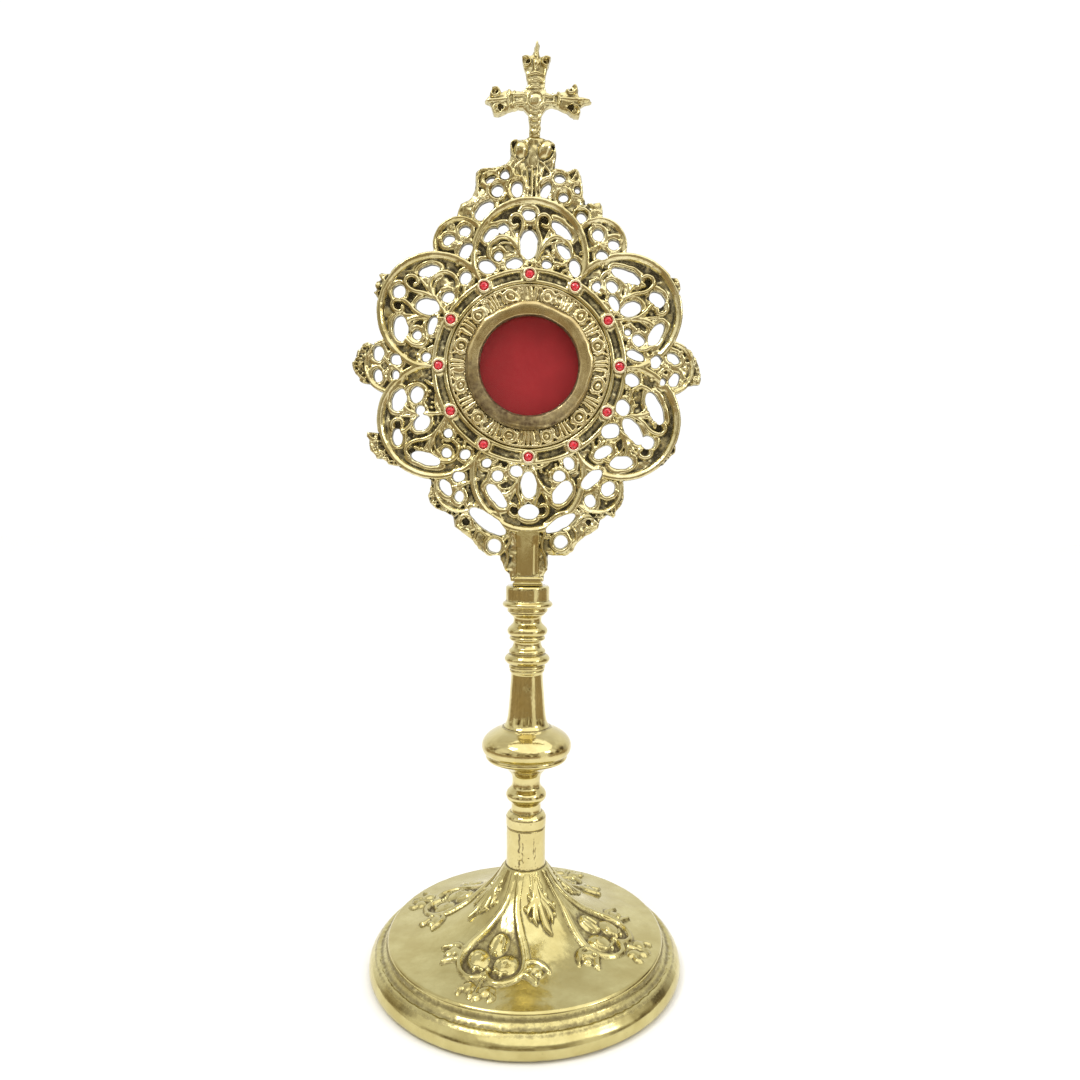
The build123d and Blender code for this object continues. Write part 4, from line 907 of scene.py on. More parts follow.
def build_tang():
    """Square shank below the lace, with the lip that rests on the socket."""
    g = 0.2
    x = np.arange(-5.8, 5.81, g)
    y = np.arange(-4.8, 4.81, g)
    z = np.arange(128.8, 155.4, g)
    X, Y, Z = np.meshgrid(x, y, z, indexing="ij")

    def slab(hx, hy, z0, z1, r):
        qx, qy, qz = np.abs(X) - hx + r, np.abs(Y) - hy + r, np.abs(Z - (z0 + z1) / 2) - (z1 - z0) / 2 + r
        return np.sqrt(np.maximum(qx, 0) ** 2 + np.maximum(qy, 0) ** 2 + np.maximum(qz, 0) ** 2) + np.minimum(np.maximum(np.maximum(qx, qy), qz), 0) - r

    shank = slab(4.05, 3.15, 129.45, 154.4, 0.45)
    t = np.clip((X - 1.3) / 1.8, 0, 1)
    t2 = np.clip((-2.2 - X) / 1.4, 0, 1)
    shank = shank + (0.5 * t * t * (3 - 2 * t) + 0.3 * t2 * t2 * (3 - 2 * t2)) * np.clip((-2.0 - Y) / 0.8, 0, 1) * np.clip((152 - Z) / 4, 0, 1) * np.clip((Z - 137.4) / 1.5, 0, 1)
    shank = np.maximum(shank, 2.6 - np.hypot(X, Y) - np.where(Z < 142.4, 0, 9))
    lip = np.minimum(slab(5.2, 4.1, 134.5, 135.75, 0.35), slab(4.75, 3.7, 135.7, 137.5, 0.5))
    lip = np.maximum(lip, 2.6 - np.hypot(X, Y))
    h = np.clip(0.5 + 0.5 * (lip - shank) / 0.3, 0, 1)
    F = lip + (shank - lip) * h - 0.3 * h * (1 - h)
    F = F + 0.02 * value_noise(X + 0.7 * Y, 0.4 * Z, 4.0, 151)
    pts, quads = surface_net(F, x, y, z)
    me = make_mesh("tang", pts, outward(pts, quads))
    p = mesh_points(me)
    v = 0.7 * np.exp(-(((p[:, 2] - 137.9) / 0.35) ** 2)) + 0.6 * np.exp(-(((p[:, 2] - 134.4) / 0.3) ** 2))
    set_attribute(me, "cav", v)
    return put("tang_casting", me)


def build_cross():
    step = 0.13
    R, plan, cav = cross_relief(step)
    R2, _, _ = cross_relief(step)
    back = np.clip(R.H - 1.2, 0.05, 0.58)
    me = plate_mesh(R, plan, back, -3.4, 1.2, 0.14, 0.22, 90000)
    p = mesh_points(me)
    n = mesh_normals(me)
    front = np.clip(-n[:, 1] * 1.6 - 0.1, 0, 1)
    local = sample_map(cav, R.x[0], R.z[0], step, p[:, 0], p[:, 2])
    set_attribute(me, "cav", local * front + 0.35 * (1 - front))
    return put("cross_casting", me)


# ------------------------------------------------------------------ window
def build_band():
    step = 0.11
    R, cav = band_relief(step)
    count = 1150
    loop = [(20.56, 2.45)] + spaced([(20.56, 2.45), (20.56, 4.35)], 1.0)[1:] + [(r, 0.0) for r in np.arange(20.75, 27.72, 0.125)] + [(27.8, 2.9), (27.8, 2.45), (27.0, 2.41), (24.0, 2.41), (21.5, 2.41)]
    loop = np.array(loop)
    live = loop[:, 1] == 0.0
    length = 2 * math.pi * BAND_R

    def warped(A, r):
        u, w = 24 * np.cos(A), 24 * np.sin(A)
        fade = np.clip(np.minimum(r - 21.6, 27.2 - r) / 1.0, 0, 1)
        x = (A % (2 * math.pi)) / (2 * math.pi) * length + 0.85 * fade * value_noise(u + 0.3 * r, w, 3.4, 74)
        return x, r + 0.42 * fade * value_noise(u, w + 0.3 * r, 3.0, 75)

    def offset(K, A, r, h):
        x, rr = warped(A, r)
        top = sample_map(R.H, R.x[0], R.z[0], step, x, rr)
        wear = 0.2 * value_noise(r * np.cos(A), r * np.sin(A), 4.5, 76)
        return 0 * r, np.where(live[K], np.where(r < 21.75, 3.95, top + wear * (r < 26.9)) - h, 0)

    pts, faces, A, K = lathe(loop, count, facing, offset)
    me = make_mesh("gadroon", pts, faces)
    x, rr = warped(A, loop[K, 0])
    v = sample_map(cav, R.x[0], R.z[0], step, x, rr)
    me.attributes.new("cav", "FLOAT", "POINT")
    set_attribute(me, "cav", np.where(live[K], v, 0.5))
    return put("gadroon_casting", me)


def build_bezel():
    outline = [(16.75, 4.42), (17.25, 5.25)] + smooth_run([(17.25, 5.25), (17.55, 5.55), (18.6, 5.78), (19.6, 5.93), (20.6, 5.86), (21.3, 5.52), (21.72, 5.05), (21.8, 4.42)], 0.12)[1:] + [(20.5, 4.41), (19.0, 4.41)]
    loop = np.array(outline)
    face = (loop[:, 1] > 4.6).astype(float)

    def offset(K, A, r, h):
        # the plain rim was turned and rubbed by hand, so it is never quite flat or round
        u, w = 20 * np.cos(A), 20 * np.sin(A)
        edge = np.clip((r - 19.5) / 2.0, 0, 1)
        lip = np.clip((18.2 - r) / 0.8, 0, 1)
        ragged = 0.46 * value_noise(u, w, 7.0, 101) + 0.26 * value_noise(u, w, 2.4, 102) - 0.3
        fx, fz = r * np.cos(A), r * np.sin(A)
        d = 0.13 * value_noise(fx, fz, 5.5, 103) + 0.05 * value_noise(fx, fz, 2.0, 104)
        return face[K] * (edge * ragged - lip * 0.12 * value_noise(u, w, 5.0, 105)), face[K] * d

    pts, faces, A, K = lathe(loop, 720, facing, offset)
    me = make_mesh("bezel", pts, faces)
    p = mesh_points(me)
    x, z = p[:, 0], p[:, 2] - HEAD_Z
    # painted shade: the rim's face gets darker towards the lower left, mottled by noise, and the inner lip and the
    # outer edge are painted dark as shade; the scattered blotches elsewhere are random tone
    low = np.clip((4.0 - z - 0.35 * x) / 18.0, 0, 1)
    worn = low * (0.62 + 0.2 * value_noise(x, z, 2.2, 106) + 0.1 * value_noise(x, z, 0.9, 107)) + 0.2 * np.clip(value_noise(x, z, 4.5, 108), 0, 1)
    set_attribute(me, "cav", np.where(loop[K, 0] < 17.35, 0.75, np.where(loop[K, 0] > 21.6, 0.6, np.clip(worn, 0, 0.8))))
    return put("bezel_ring", me)


def build_stones():
    """Faceted pastes in their collets."""
    sp, sf, cp, cf, cc = [], [], [], [], []
    ns = nc = 0
    for i in range(12):
        a = math.radians(90 - 30 * i)
        cx, cz = 30.9 * math.cos(a), HEAD_Z + 30.9 * math.sin(a)
        turn = 0.4 * i + 0.2 * math.sin(5 * i)
        # stone: table, two rows of facets, girdle and pavilion
        rows = [(0.0, 5.16, 0), (0.62, 5.13, 0.0), (1.1, 4.84, 0.5), (1.5, 4.36, 0.0), (1.58, 4.15, 0.5), (1.0, 3.8, 0.0), (0.0, 3.72, 0)]
        n = 8
        ids = []
        for r, h, ph in rows:
            if r == 0:
                sp.append((cx, -h, cz))
                ids.append([ns] * n)
                ns += 1
            else:
                row = []
                for k in range(n):
                    t = 2 * math.pi * (k + ph) / n + turn
                    sp.append((cx + r * math.sin(t), -h, cz + r * math.cos(t)))
                    row.append(ns)
                    ns += 1
                ids.append(row)
        for q in range(len(rows) - 1):
            a0, a1 = ids[q], ids[q + 1]
            half = rows[q + 1][2] != rows[q][2]
            for k in range(n):
                k2 = (k + 1) % n
                if rows[q][0] == 0:
                    sf.append((a0[k], a1[k], a1[k2]))
                elif rows[q + 1][0] == 0:
                    sf.append((a0[k], a1[k], a0[k2]))
                elif not half:
                    sf += [(a0[k], a1[k], a1[k2]), (a0[k], a1[k2], a0[k2])]
                elif rows[q + 1][2] > rows[q][2]:
                    sf += [(a0[k], a1[k], a0[k2]), (a1[k], a1[k2], a0[k2])]
                else:
                    sf += [(a0[k], a1[k], a1[k2]), (a0[k], a1[k2], a0[k2])]
        # collet: a rubbed-over cup
        loop = np.array([(1.52, 4.3), (1.53, 4.6), (1.62, 4.84), (1.8, 4.97), (2.02, 5.0), (2.24, 4.9), (2.4, 4.62), (2.47, 4.2), (2.49, 3.2), (2.5, 2.46), (1.5, 2.44), (0.6, 2.44), (0.6, 3.6), (1.3, 3.68)])

        def offset(K, A, r, h, i=i):
            w = 0.05 * np.sin(2 * A + i) + 0.035 * np.sin(5 * A + 2.3 * i)
            on = (loop[K, 1] > 4.3)
            return on * w * 0.5, on * (w * 0.6 + 0.03 * np.sin(9 * A + i))

        pts, faces, A, K = lathe(loop, 64, lambda r, h, a: facing(r, h, a, cx, cz), offset)
        cp.append(pts)
        cf.append(np.asarray(faces) + nc)
        cc.append(np.where(loop[K, 1] > 4.4, 0.05, 0.7))
        nc += len(pts)
    sp = np.array(sp)
    sf = np.array(sf)
    per = len(sf) // 12
    for i in range(12):
        own = sf[i * per : (i + 1) * per]
        if volume_of(sp, own) < 0:
            sf[i * per : (i + 1) * per] = own[:, ::-1]
    me = make_mesh("stones", sp, sf, smooth=False)
    # painted light and shade: each facet gets a fixed lighter or darker red, standing in for the glints and dark
    # reflections of a cut stone
    tone = me.attributes.new("painted_facet_shade", "FLOAT", "FACE")
    k = np.arange(len(me.polygons))
    tone.data.foreach_set("value", ((k * 7 + (k // 3) * 5) % 11 / 10.0).astype(np.float32) ** 1.5)
    stones = put("paste_stones", me)
    me = make_mesh("collets", np.vstack(cp), np.vstack(cf))
    set_attribute(me, "cav", np.concatenate(cc))
    return stones, put("collet_cups", me)


def build_lining():
    """Red cloth disc glued to the card, its woven face a little uneven."""
    rings = np.concatenate([np.linspace(0.0, 17.4, 56), [17.7, 17.95, 18.1, 18.18]])
    count = 300
    a = np.arange(count) * 2 * math.pi / count
    front, back = [], []
    pts = []
    for side in (0, 1):
        for r in rings[1:]:
            x, z = r * np.sin(a), r * np.cos(a)
            puff = 0.10 * value_noise(x, z, 5.0, 111) + 0.04 * value_noise(x, z, 1.5, 112)
            roll = 0.28 * np.clip((r - 17.2) / 1.0, 0, 1) ** 2
            y = (1.08 + puff * (1 - r / 18.4) + roll) if side == 0 else np.full(count, 1.49)
            pts.append(np.stack([x, y, HEAD_Z + z], 1))
    pts = np.vstack(pts + [np.array([[0, 1.08, HEAD_Z], [0, 1.49, HEAD_Z]])])
    m = len(rings) - 1
    base = [0, m * count]
    k = np.arange(count)
    k2 = (k + 1) % count
    tris, quads = [], []
    for side in (0, 1):
        b = base[side]
        c = 2 * m * count + side
        t = np.stack([np.full(count, c), b + k, b + k2], 1)
        tris.append(t if side == 0 else t[:, ::-1])
        for j in range(m - 1):
            q = np.stack([b + j * count + k, b + (j + 1) * count + k, b + (j + 1) * count + k2, b + j * count + k2], 1)
            quads.append(q if side == 0 else q[:, ::-1])
    last = (m - 1) * count
    quads.append(np.stack([base[0] + last + k, base[1] + last + k, base[1] + last + k2, base[0] + last + k2], 1))
    q = np.vstack(quads)
    t = np.vstack(tris)
    t2 = np.vstack([q[:, [0, 1, 2]], q[:, [0, 2, 3]], t])
    t2 = outward(pts, t2)
    return put("cloth_lining", make_mesh("lining", pts, t2), "door")


# ------------------------------------------------------------------ foot
ORNAMENTS = (-20.0, 67.0, 157.0, -112.0)
CLUSTERS = (22.0, 111.0, 202.0, -66.0)


def build_foot():
    step = 0.12
    O, ocav = foot_ornament(step)
    C, ccav = foot_cluster(step)
    gap = 0.36
    top = smooth_run([(7.7, 34.8), (8.5, 33.4), (9.6, 31.6), (11.7, 28.4), (15, 24.6), (20, 20.2), (26, 16.9), (33, 14.3), (40, 12.7), (47.9, 11.6)], gap)
    rim = smooth_run([(48.55, 10.9), (48.6, 9.7), (49.1, 8.6), (50.2, 7.7)], 0.35)[:-1] + smooth_run([(50.2, 7.7), (50.9, 7.35), (51.8, 7.55), (52.7, 6.9)], 0.35)[:-1] + smooth_run([(52.7, 6.9), (54.2, 5.0), (54.8, 3.0), (54.6, 1.3), (53.4, 0.05)], 0.4)
    under = [(52.6, 0.0), (50.6, 0.0)] + spaced([(50.0, 0.3), (46.6, 8.2), (45.6, 9.2)], 1.6) + smooth_run([(45.6, 9.2), (40, 10.2), (33, 11.6), (25, 14.2), (18.0, 17.9), (12.6, 22.0), (7.6, 26.0)], 1.6)[1:] + [(5.2, 26.0), (2.75, 26.0), (2.65, 31.0), (2.65, 35.05), (4.6, 35.08), (7.2, 35.08)]
    loop = np.array(top + rim + under)
    n_top = len(top)
    ornate = np.zeros(len(loop), bool)
    ornate[: n_top] = True
    # direction straight out of the profile
    d = np.roll(loop, -1, axis=0) - np.roll(loop, 1, axis=0)
    nr, nh = -d[:, 1], d[:, 0]
    ln = np.hypot(nr, nh) + 1e-9
    nr, nh = nr / ln, nh / ln
    if nh[n_top // 2] < 0:
        nr, nh = -nr, -nh
    outer = np.zeros(len(loop), bool)
    outer[: n_top + len(rim)] = True

    def relief(r, A):
        total = np.zeros_like(r)
        cav = np.zeros_like(r)
        for az, (M, mc) in [(q, (O, ocav)) for q in ORNAMENTS] + [(q, (C, ccav)) for q in CLUSTERS]:
            da = (A - math.radians(az) + math.pi) % (2 * math.pi) - math.pi
            t = da * r
            s = r
            inside = (t > M.x[0] + 0.2) & (t < M.x[-1] - 0.2) & (s > M.z[0] + 0.2) & (s < M.z[-1] - 0.2) & (np.abs(da) < 1.2)
            v = np.where(inside, sample_map(M.H, M.x[0], M.z[0], M.step, np.where(inside, t, 0), np.where(inside, s, M.z[0])), 0)
            c = np.where(inside, sample_map(mc, M.x[0], M.z[0], M.step, np.where(inside, t, 0), np.where(inside, s, M.z[0])), 0)
            total = np.where(np.abs(v) > np.abs(total), v, total)
            cav = np.maximum(cav, c)
        return total, cav

    def offset(K, A, r, h):
        on = ornate[K]
        v, _ = relief(r, A)
        fade = np.clip((47.6 - r) / 1.2, 0, 1) * np.clip((34.9 - h) / 0.8, 0, 1)
        v = np.where(on, v * np.where(v > 0, np.maximum(fade, 0.0), fade), 0)
        rough = 0.035 * value_noise(r * np.sin(A), r * np.cos(A), 3.0, 121) + 0.015 * value_noise(r * np.sin(A), r * np.cos(A), 1.0, 122)
        v = v + np.where(outer[K], rough, 0)
        bead = np.exp(-(((r - 50.9) / 0.9) ** 2)) * (h < 9)
        v = v + bead * (0.16 * value_noise(52 * A, r, 0.9, 123) + 0.14 * value_noise(52 * A, r, 0.5, 124))
        return nr[K] * v, nh[K] * v

    count = 640
    pts, faces, A, K = lathe(loop, count, upright, offset)
    pts[:, 2] = np.maximum(pts[:, 2], 0.0)
    me = make_mesh("foot", pts, faces)
    r = loop[K, 0]
    _, cv = relief(r, A)
    groove = np.zeros(len(loop))
    for q, (rr, hh) in enumerate(loop):
        if q < n_top + len(rim):
            # the grooves at r 50.4 and r 52.5 hold patina; the plate edge's upright wall near h 9.5 is painted dark as
            # shade
            groove[q] = 0.62 * math.exp(-(((rr - 50.4) / 0.7) ** 2)) + 0.62 * math.exp(-(((hh - 9.5) / 1.0) ** 2)) * (rr > 48) + 0.45 * math.exp(-(((rr - 52.5) / 0.5) ** 2)) * (hh > 6)
        else:
            groove[q] = 0.7
    cv = cv * np.clip(1.0 - 0.55 * (loop[K, 1] - 24.0) / 8.0, 0.45, 1.0)
    set_attribute(me, "cav", np.where(ornate[K], cv, 0) + groove[K] * np.where(ornate[K], 0.4 * (r > 47), 1))
    return put("foot_casting", me)


# ------------------------------------------------------------------ stem
def stem_piece(name, outline, count=360, wave=0.03, pit=0.012, cav=None, seed=0, painted_streak_dents=(), grooves=()):
    """A turned casting. outline runs up the outside as (radius, height); the bore and the two ends are closed to it."""
    z0, z1 = outline[0][1], outline[-1][1]
    bore = 2.65
    loop = [(bore, z0)] + [(bore + (outline[0][0] - bore) * t, z0) for t in (0.33, 0.66)] + list(outline) + [(bore + (outline[-1][0] - bore) * t, z1) for t in (0.66, 0.33)] + [(bore, z1), (bore, (z0 + z1) / 2)]
    loop = np.array(loop)
    a, b = 3, 3 + len(outline)
    outer = np.zeros(len(loop), bool)
    outer[a:b] = True
    ends = np.ones(len(loop))
    for k in range(a, b):
        ends[k] = min(1.0, (loop[k, 1] - z0) / 0.4, (z1 - loop[k, 1]) / 0.4)

    def dent_and_painted_streak(A, r, h):
        # jagged upright dents whose dark colour is a painted reflection streak
        s = np.zeros_like(h)
        for az, lo, hi, half, amount in painted_streak_dents:
            d = ((A - math.radians(az) + math.pi) % (2 * math.pi) - math.pi) * r + 0.3 * value_noise(h, 0 * h + az, 1.3, 160 + seed) + 0.16 * value_noise(h, 0 * h + az, 0.5, 161 + seed)
            gate = np.clip((h - lo) / 0.8, 0, 1) * np.clip((hi - h) / 0.8, 0, 1) * np.clip(0.95 + 1.0 * value_noise(h, 0 * h + az, 1.0, 162 + seed), 0, 1)
            s = np.maximum(s, amount * gate * np.exp(-((d / half) ** 2)))
        return s

    def offset(K, A, r, h):
        x, y = 8 * np.sin(A), 8 * np.cos(A)
        w = wave * value_noise(x + 0.5 * h, y + 3.1 * np.round(h * 0), 4.0, 130 + seed) + wave * 0.6 * value_noise(x, 0.35 * h, 2.6, 131 + seed) * np.cos(A) ** 2 + wave * 0.6 * value_noise(y, 0.35 * h, 2.6, 132 + seed) * np.sin(A) ** 2
        w = w + pit * value_noise(14 * A, h, 0.8, 133 + seed)
        for gz, depth, half in grooves:
            w = w - depth * np.exp(-(((h - gz) / half) ** 2))
        w = w - 0.09 * dent_and_painted_streak(A, r, h)
        w = np.where(outer[K], w * np.clip(ends[K], 0, 1), 0)
        return w, 0 * h

    pts, faces, A, K = lathe(loop, count, upright, offset)
    me = make_mesh(name, pts, faces)
    c = np.zeros(len(loop))
    for k in range(a, b):
        h = loop[k, 1]
        for gz, depth, half in grooves:
            c[k] = max(c[k], 0.8 * math.exp(-(((h - gz) / (half * 1.6)) ** 2)))
        c[k] = max(c[k], 0.55 * math.exp(-(((h - z0) / 0.35) ** 2)), 0.55 * math.exp(-(((h - z1) / 0.35) ** 2)))
        for gz, amount, half in cav or ():
            c[k] = max(c[k], amount * math.exp(-(((h - gz) / half) ** 2)))
    # the streaks' dark colour is a painted reflection, added to the patina of the grooves and ends
    set_attribute(me, "cav", np.maximum(c[K], np.where(outer[K], dent_and_painted_streak(A, loop[K, 0], loop[K, 1]), 0)))
    return put(name, me)


def build_stem():
    out = {}
    g = 0.22
    sleeve = smooth_run([(7.05, 35.1), (6.88, 37.4), (6.86, 42.5), (6.9, 48.5)], g) + [(6.72, 48.8), (6.95, 49.1)] + smooth_run([(7.0, 49.3), (7.1, 50.8), (7.12, 52.3)], g) + smooth_run([(7.05, 52.6), (6.6, 53.3), (6.0, 53.85), (5.5, 54.2)], g)
    out["lower_sleeve"] = stem_piece("sleeve_casting", sleeve, count=420, wave=0.08, pit=0.04, seed=1, grooves=((48.8, 0.16, 0.16), (52.5, 0.06, 0.12)), cav=((35.3, 0.6, 0.4),), painted_streak_dents=((-19, 36.2, 48.6, 0.4, 1.0), (-9, 37.0, 45.5, 0.3, 0.75), (25, 40.0, 48.0, 0.3, 0.65), (30, 36.5, 44.0, 0.3, 0.6)))
    bal = smooth_run([(5.4, 54.2), (5.22, 55.6), (5.4, 57.2), (6.1, 58.1)], g)[:-1] + smooth_run([(6.1, 58.1), (6.85, 58.9), (7.17, 60.1), (6.8, 61.3), (6.0, 62.2)], g)[:-1] + smooth_run([(6.0, 62.2), (5.2, 63.2), (4.94, 65.0), (5.2, 67.0), (5.9, 68.2), (6.8, 69.3)], g)
    out["lower_baluster"] = stem_piece("baluster_lower_casting", bal, seed=2)
    knop = smooth_run([(6.9, 69.3), (8.2, 70.5), (10.4, 71.6), (12.5, 72.6)], g) + smooth_run([(12.9, 72.8), (14.0, 73.2), (14.5, 74.0), (14.3, 74.8)], 0.16) + smooth_run([(14.6, 75.1), (15.45, 76.1), (15.85, 77.6), (15.6, 79.2), (14.7, 80.7), (13.2, 82.0), (11.3, 83.1), (9.5, 83.9), (8.5, 84.6)], g)
    out["knop"] = stem_piece("knop_casting", knop, count=560, wave=0.05, seed=3, grooves=((74.95, 0.14, 0.14), (72.7, 0.12, 0.14)))
    shaft = smooth_run([(8.2, 84.6), (7.3, 86.0), (6.75, 88.2), (6.35, 92.0), (6.0, 97.0), (5.7, 100.5), (5.55, 103.4)], 0.3) + [(5.8, 103.8), (6.1, 104.2), (6.14, 104.6), (6.15, 105.0)]
    out["conical_shaft"] = stem_piece("shaft_casting", shaft, seed=4, wave=0.045)
    upper = smooth_run([(6.1, 105.0), (6.35, 105.5), (6.38, 106.1), (6.1, 106.6)], 0.16) + smooth_run([(6.3, 106.8), (7.2, 107.3), (7.9, 108.3), (7.85, 109.1), (7.2, 110.0), (6.5, 110.4)], g) + smooth_run([(6.2, 110.6), (6.45, 111.2), (6.2, 111.9), (5.4, 112.6)], 0.18) + smooth_run([(5.3, 112.8), (4.88, 113.9), (5.05, 114.8), (5.5, 115.2)], g)[:-1] + smooth_run([(5.5, 115.2), (6.15, 115.5), (6.3, 116.1), (5.95, 116.7)], 0.16) + smooth_run([(6.1, 116.9), (6.8, 117.6), (7.08, 118.6), (6.7, 119.6), (5.8, 120.5)], g)[:-1] + smooth_run([(5.8, 120.5), (5.05, 121.4), (4.85, 122.5), (5.1, 123.5), (5.9, 124.2)], g) + [(6.2, 124.6), (6.4, 125.1)]
    out["upper_baluster"] = stem_piece("baluster_upper_casting", upper, seed=5, grooves=((110.5, 0.1, 0.13), (106.7, 0.1, 0.13), (116.8, 0.1, 0.13)))
    return out


def build_socket():
    """Collar round the head's square tang."""
    g = 0.22
    outside = smooth_run([(6.7, 125.1), (7.02, 125.5), (7.08, 126.1), (6.85, 126.6)], 0.16) + smooth_run([(7.3, 126.8), (8.3, 127.1), (8.8, 127.8), (8.5, 128.6), (7.75, 129.05)], g) + [(7.64, 129.45)] + spaced([(7.62, 129.7), (7.62, 133.7)], 0.5) + [(7.5, 134.1), (7.2, 134.4)]
    n_out = len(outside)
    # the mouth: a square pocket, drawn as four flat walls
    inside = [("mouth", 134.4), ("mouth", 132.0), ("mouth", 129.45)]
    loop = outside + [(5.2, 134.4)] * len(inside) + [(2.65, 129.4), (2.65, 125.1), (4.8, 125.1)]
    loop = np.array([(r, h) for r, h in loop])
    for q, (_, h) in enumerate(inside):
        loop[n_out + q, 1] = h

    def offset(K, A, r, h):
        hx, hy = 4.14, 3.24
        sq = np.minimum(hx / np.maximum(np.abs(np.sin(A)), 1e-6), hy / np.maximum(np.abs(np.cos(A)), 1e-6))
        mouth = (K >= n_out) & (K < n_out + len(inside))
        rough = 0.03 * value_noise(8 * np.sin(A) + h, 8 * np.cos(A), 2.5, 141) + 0.02 * value_noise(14 * A, h, 0.9, 142)
        out = (K < n_out) & (h > 125.5) & (h < 134.0)
        return np.where(mouth, sq - r, np.where(out, rough, 0)), 0 * h

    pts, faces, A, K = lathe(loop, 480, upright, offset)
    me = make_mesh("socket", pts, faces)
    c = np.where(K >= n_out, 0.8, 0.0) + 0.6 * np.exp(-(((loop[K, 1] - 129.3) / 0.35) ** 2)) * (K < n_out) + 0.5 * np.exp(-(((loop[K, 1] - 125.2) / 0.4) ** 2))
    set_attribute(me, "cav", c)
    return put("socket_casting", me)

# ------------------------------------------------------------------ materials
def new_material(name):
    m = bpy.data.materials.new(name)
    m.use_nodes = True
    nt = m.node_tree
    nt.nodes.clear()
    out = nt.nodes.new("ShaderNodeOutputMaterial")
    p = nt.nodes.new("ShaderNodeBsdfPrincipled")
    nt.links.new(p.outputs[0], out.inputs[0])
    return m, nt, p


def rgb(*c):
    """sRGB 0-255 to linear."""
    return tuple((v / 255 / 12.92) if v / 255 <= 0.04045 else ((v / 255 + 0.055) / 1.055) ** 2.4 for v in c) + (1.0,)


class Nodes:
    """Short hands for building a node tree."""

    def __init__(self, nt):
        self.nt = nt
        self.co = nt.nodes.new("ShaderNodeTexCoord").outputs["Object"]

    def noise(self, scale, detail=4, rough=0.55, stretch=None, distortion=0.0):
        n = self.nt.nodes.new("ShaderNodeTexNoise")
        n.inputs["Scale"].default_value = scale
        n.inputs["Detail"].default_value = detail
        n.inputs["Roughness"].default_value = rough
        n.inputs["Distortion"].default_value = distortion
        self.nt.links.new(self.stretched(stretch), n.inputs["Vector"])
        return n.outputs["Fac"]

    def stretched(self, stretch):
        if stretch is None:
            return self.co
        m = self.nt.nodes.new("ShaderNodeMapping")
        m.inputs["Scale"].default_value = stretch
        self.nt.links.new(self.co, m.inputs["Vector"])
        return m.outputs[0]

    def cells(self, scale, randomness=1.0):
        n = self.nt.nodes.new("ShaderNodeTexVoronoi")
        n.inputs["Scale"].default_value = scale
        n.inputs["Randomness"].default_value = randomness
        self.nt.links.new(self.co, n.inputs["Vector"])
        return n.outputs["Distance"]

    def attribute(self, name):
        n = self.nt.nodes.new("ShaderNodeAttribute")
        n.attribute_name = name
        return n.outputs["Fac"]

    def ramp(self, value, *stops):
        """stops are (position, colour or grey)."""
        n = self.nt.nodes.new("ShaderNodeValToRGB")
        el = n.color_ramp.elements
        while len(el) > 1:
            el.remove(el[-1])
        for i, (pos, c) in enumerate(stops):
            e = el[0] if i == 0 else el.new(pos)
            e.position = pos
            e.color = c if isinstance(c, tuple) else (c, c, c, 1)
        self.nt.links.new(value, n.inputs[0])
        return n.outputs[0]

    def mix(self, fac, a, b, kind="MIX"):
        n = self.nt.nodes.new("ShaderNodeMix")
        n.data_type = "RGBA"
        n.blend_type = kind
        for sock, v in ((n.inputs[0], fac), (n.inputs[6], a), (n.inputs[7], b)):
            if isinstance(v, bpy.types.NodeSocket):
                self.nt.links.new(v, sock)
            elif isinstance(v, tuple):
                sock.default_value = v
            else:
                sock.default_value = v
        return n.outputs[2]

    def math(self, op, a, b=0.0, clamp=False):
        n = self.nt.nodes.new("ShaderNodeMath")
        n.operation = op
        n.use_clamp = clamp
        for sock, v in ((n.inputs[0], a), (n.inputs[1], b)):
            if isinstance(v, bpy.types.NodeSocket):
                self.nt.links.new(v, sock)
            else:
                sock.default_value = v
        return n.outputs[0]

    def range(self, value, a, b, c, d):
        n = self.nt.nodes.new("ShaderNodeMapRange")
        for k, v in zip(("From Min", "From Max", "To Min", "To Max"), (a, b, c, d)):
            n.inputs[k].default_value = v
        self.nt.links.new(value, n.inputs["Value"])
        return n.outputs[0]

    def bump(self, height, strength, distance, normal=None):
        n = self.nt.nodes.new("ShaderNodeBump")
        n.inputs["Strength"].default_value = strength
        n.inputs["Distance"].default_value = distance
        self.nt.links.new(height, n.inputs["Height"])
        if normal is not None:
            self.nt.links.new(normal, n.inputs["Normal"])
        return n.outputs[0]


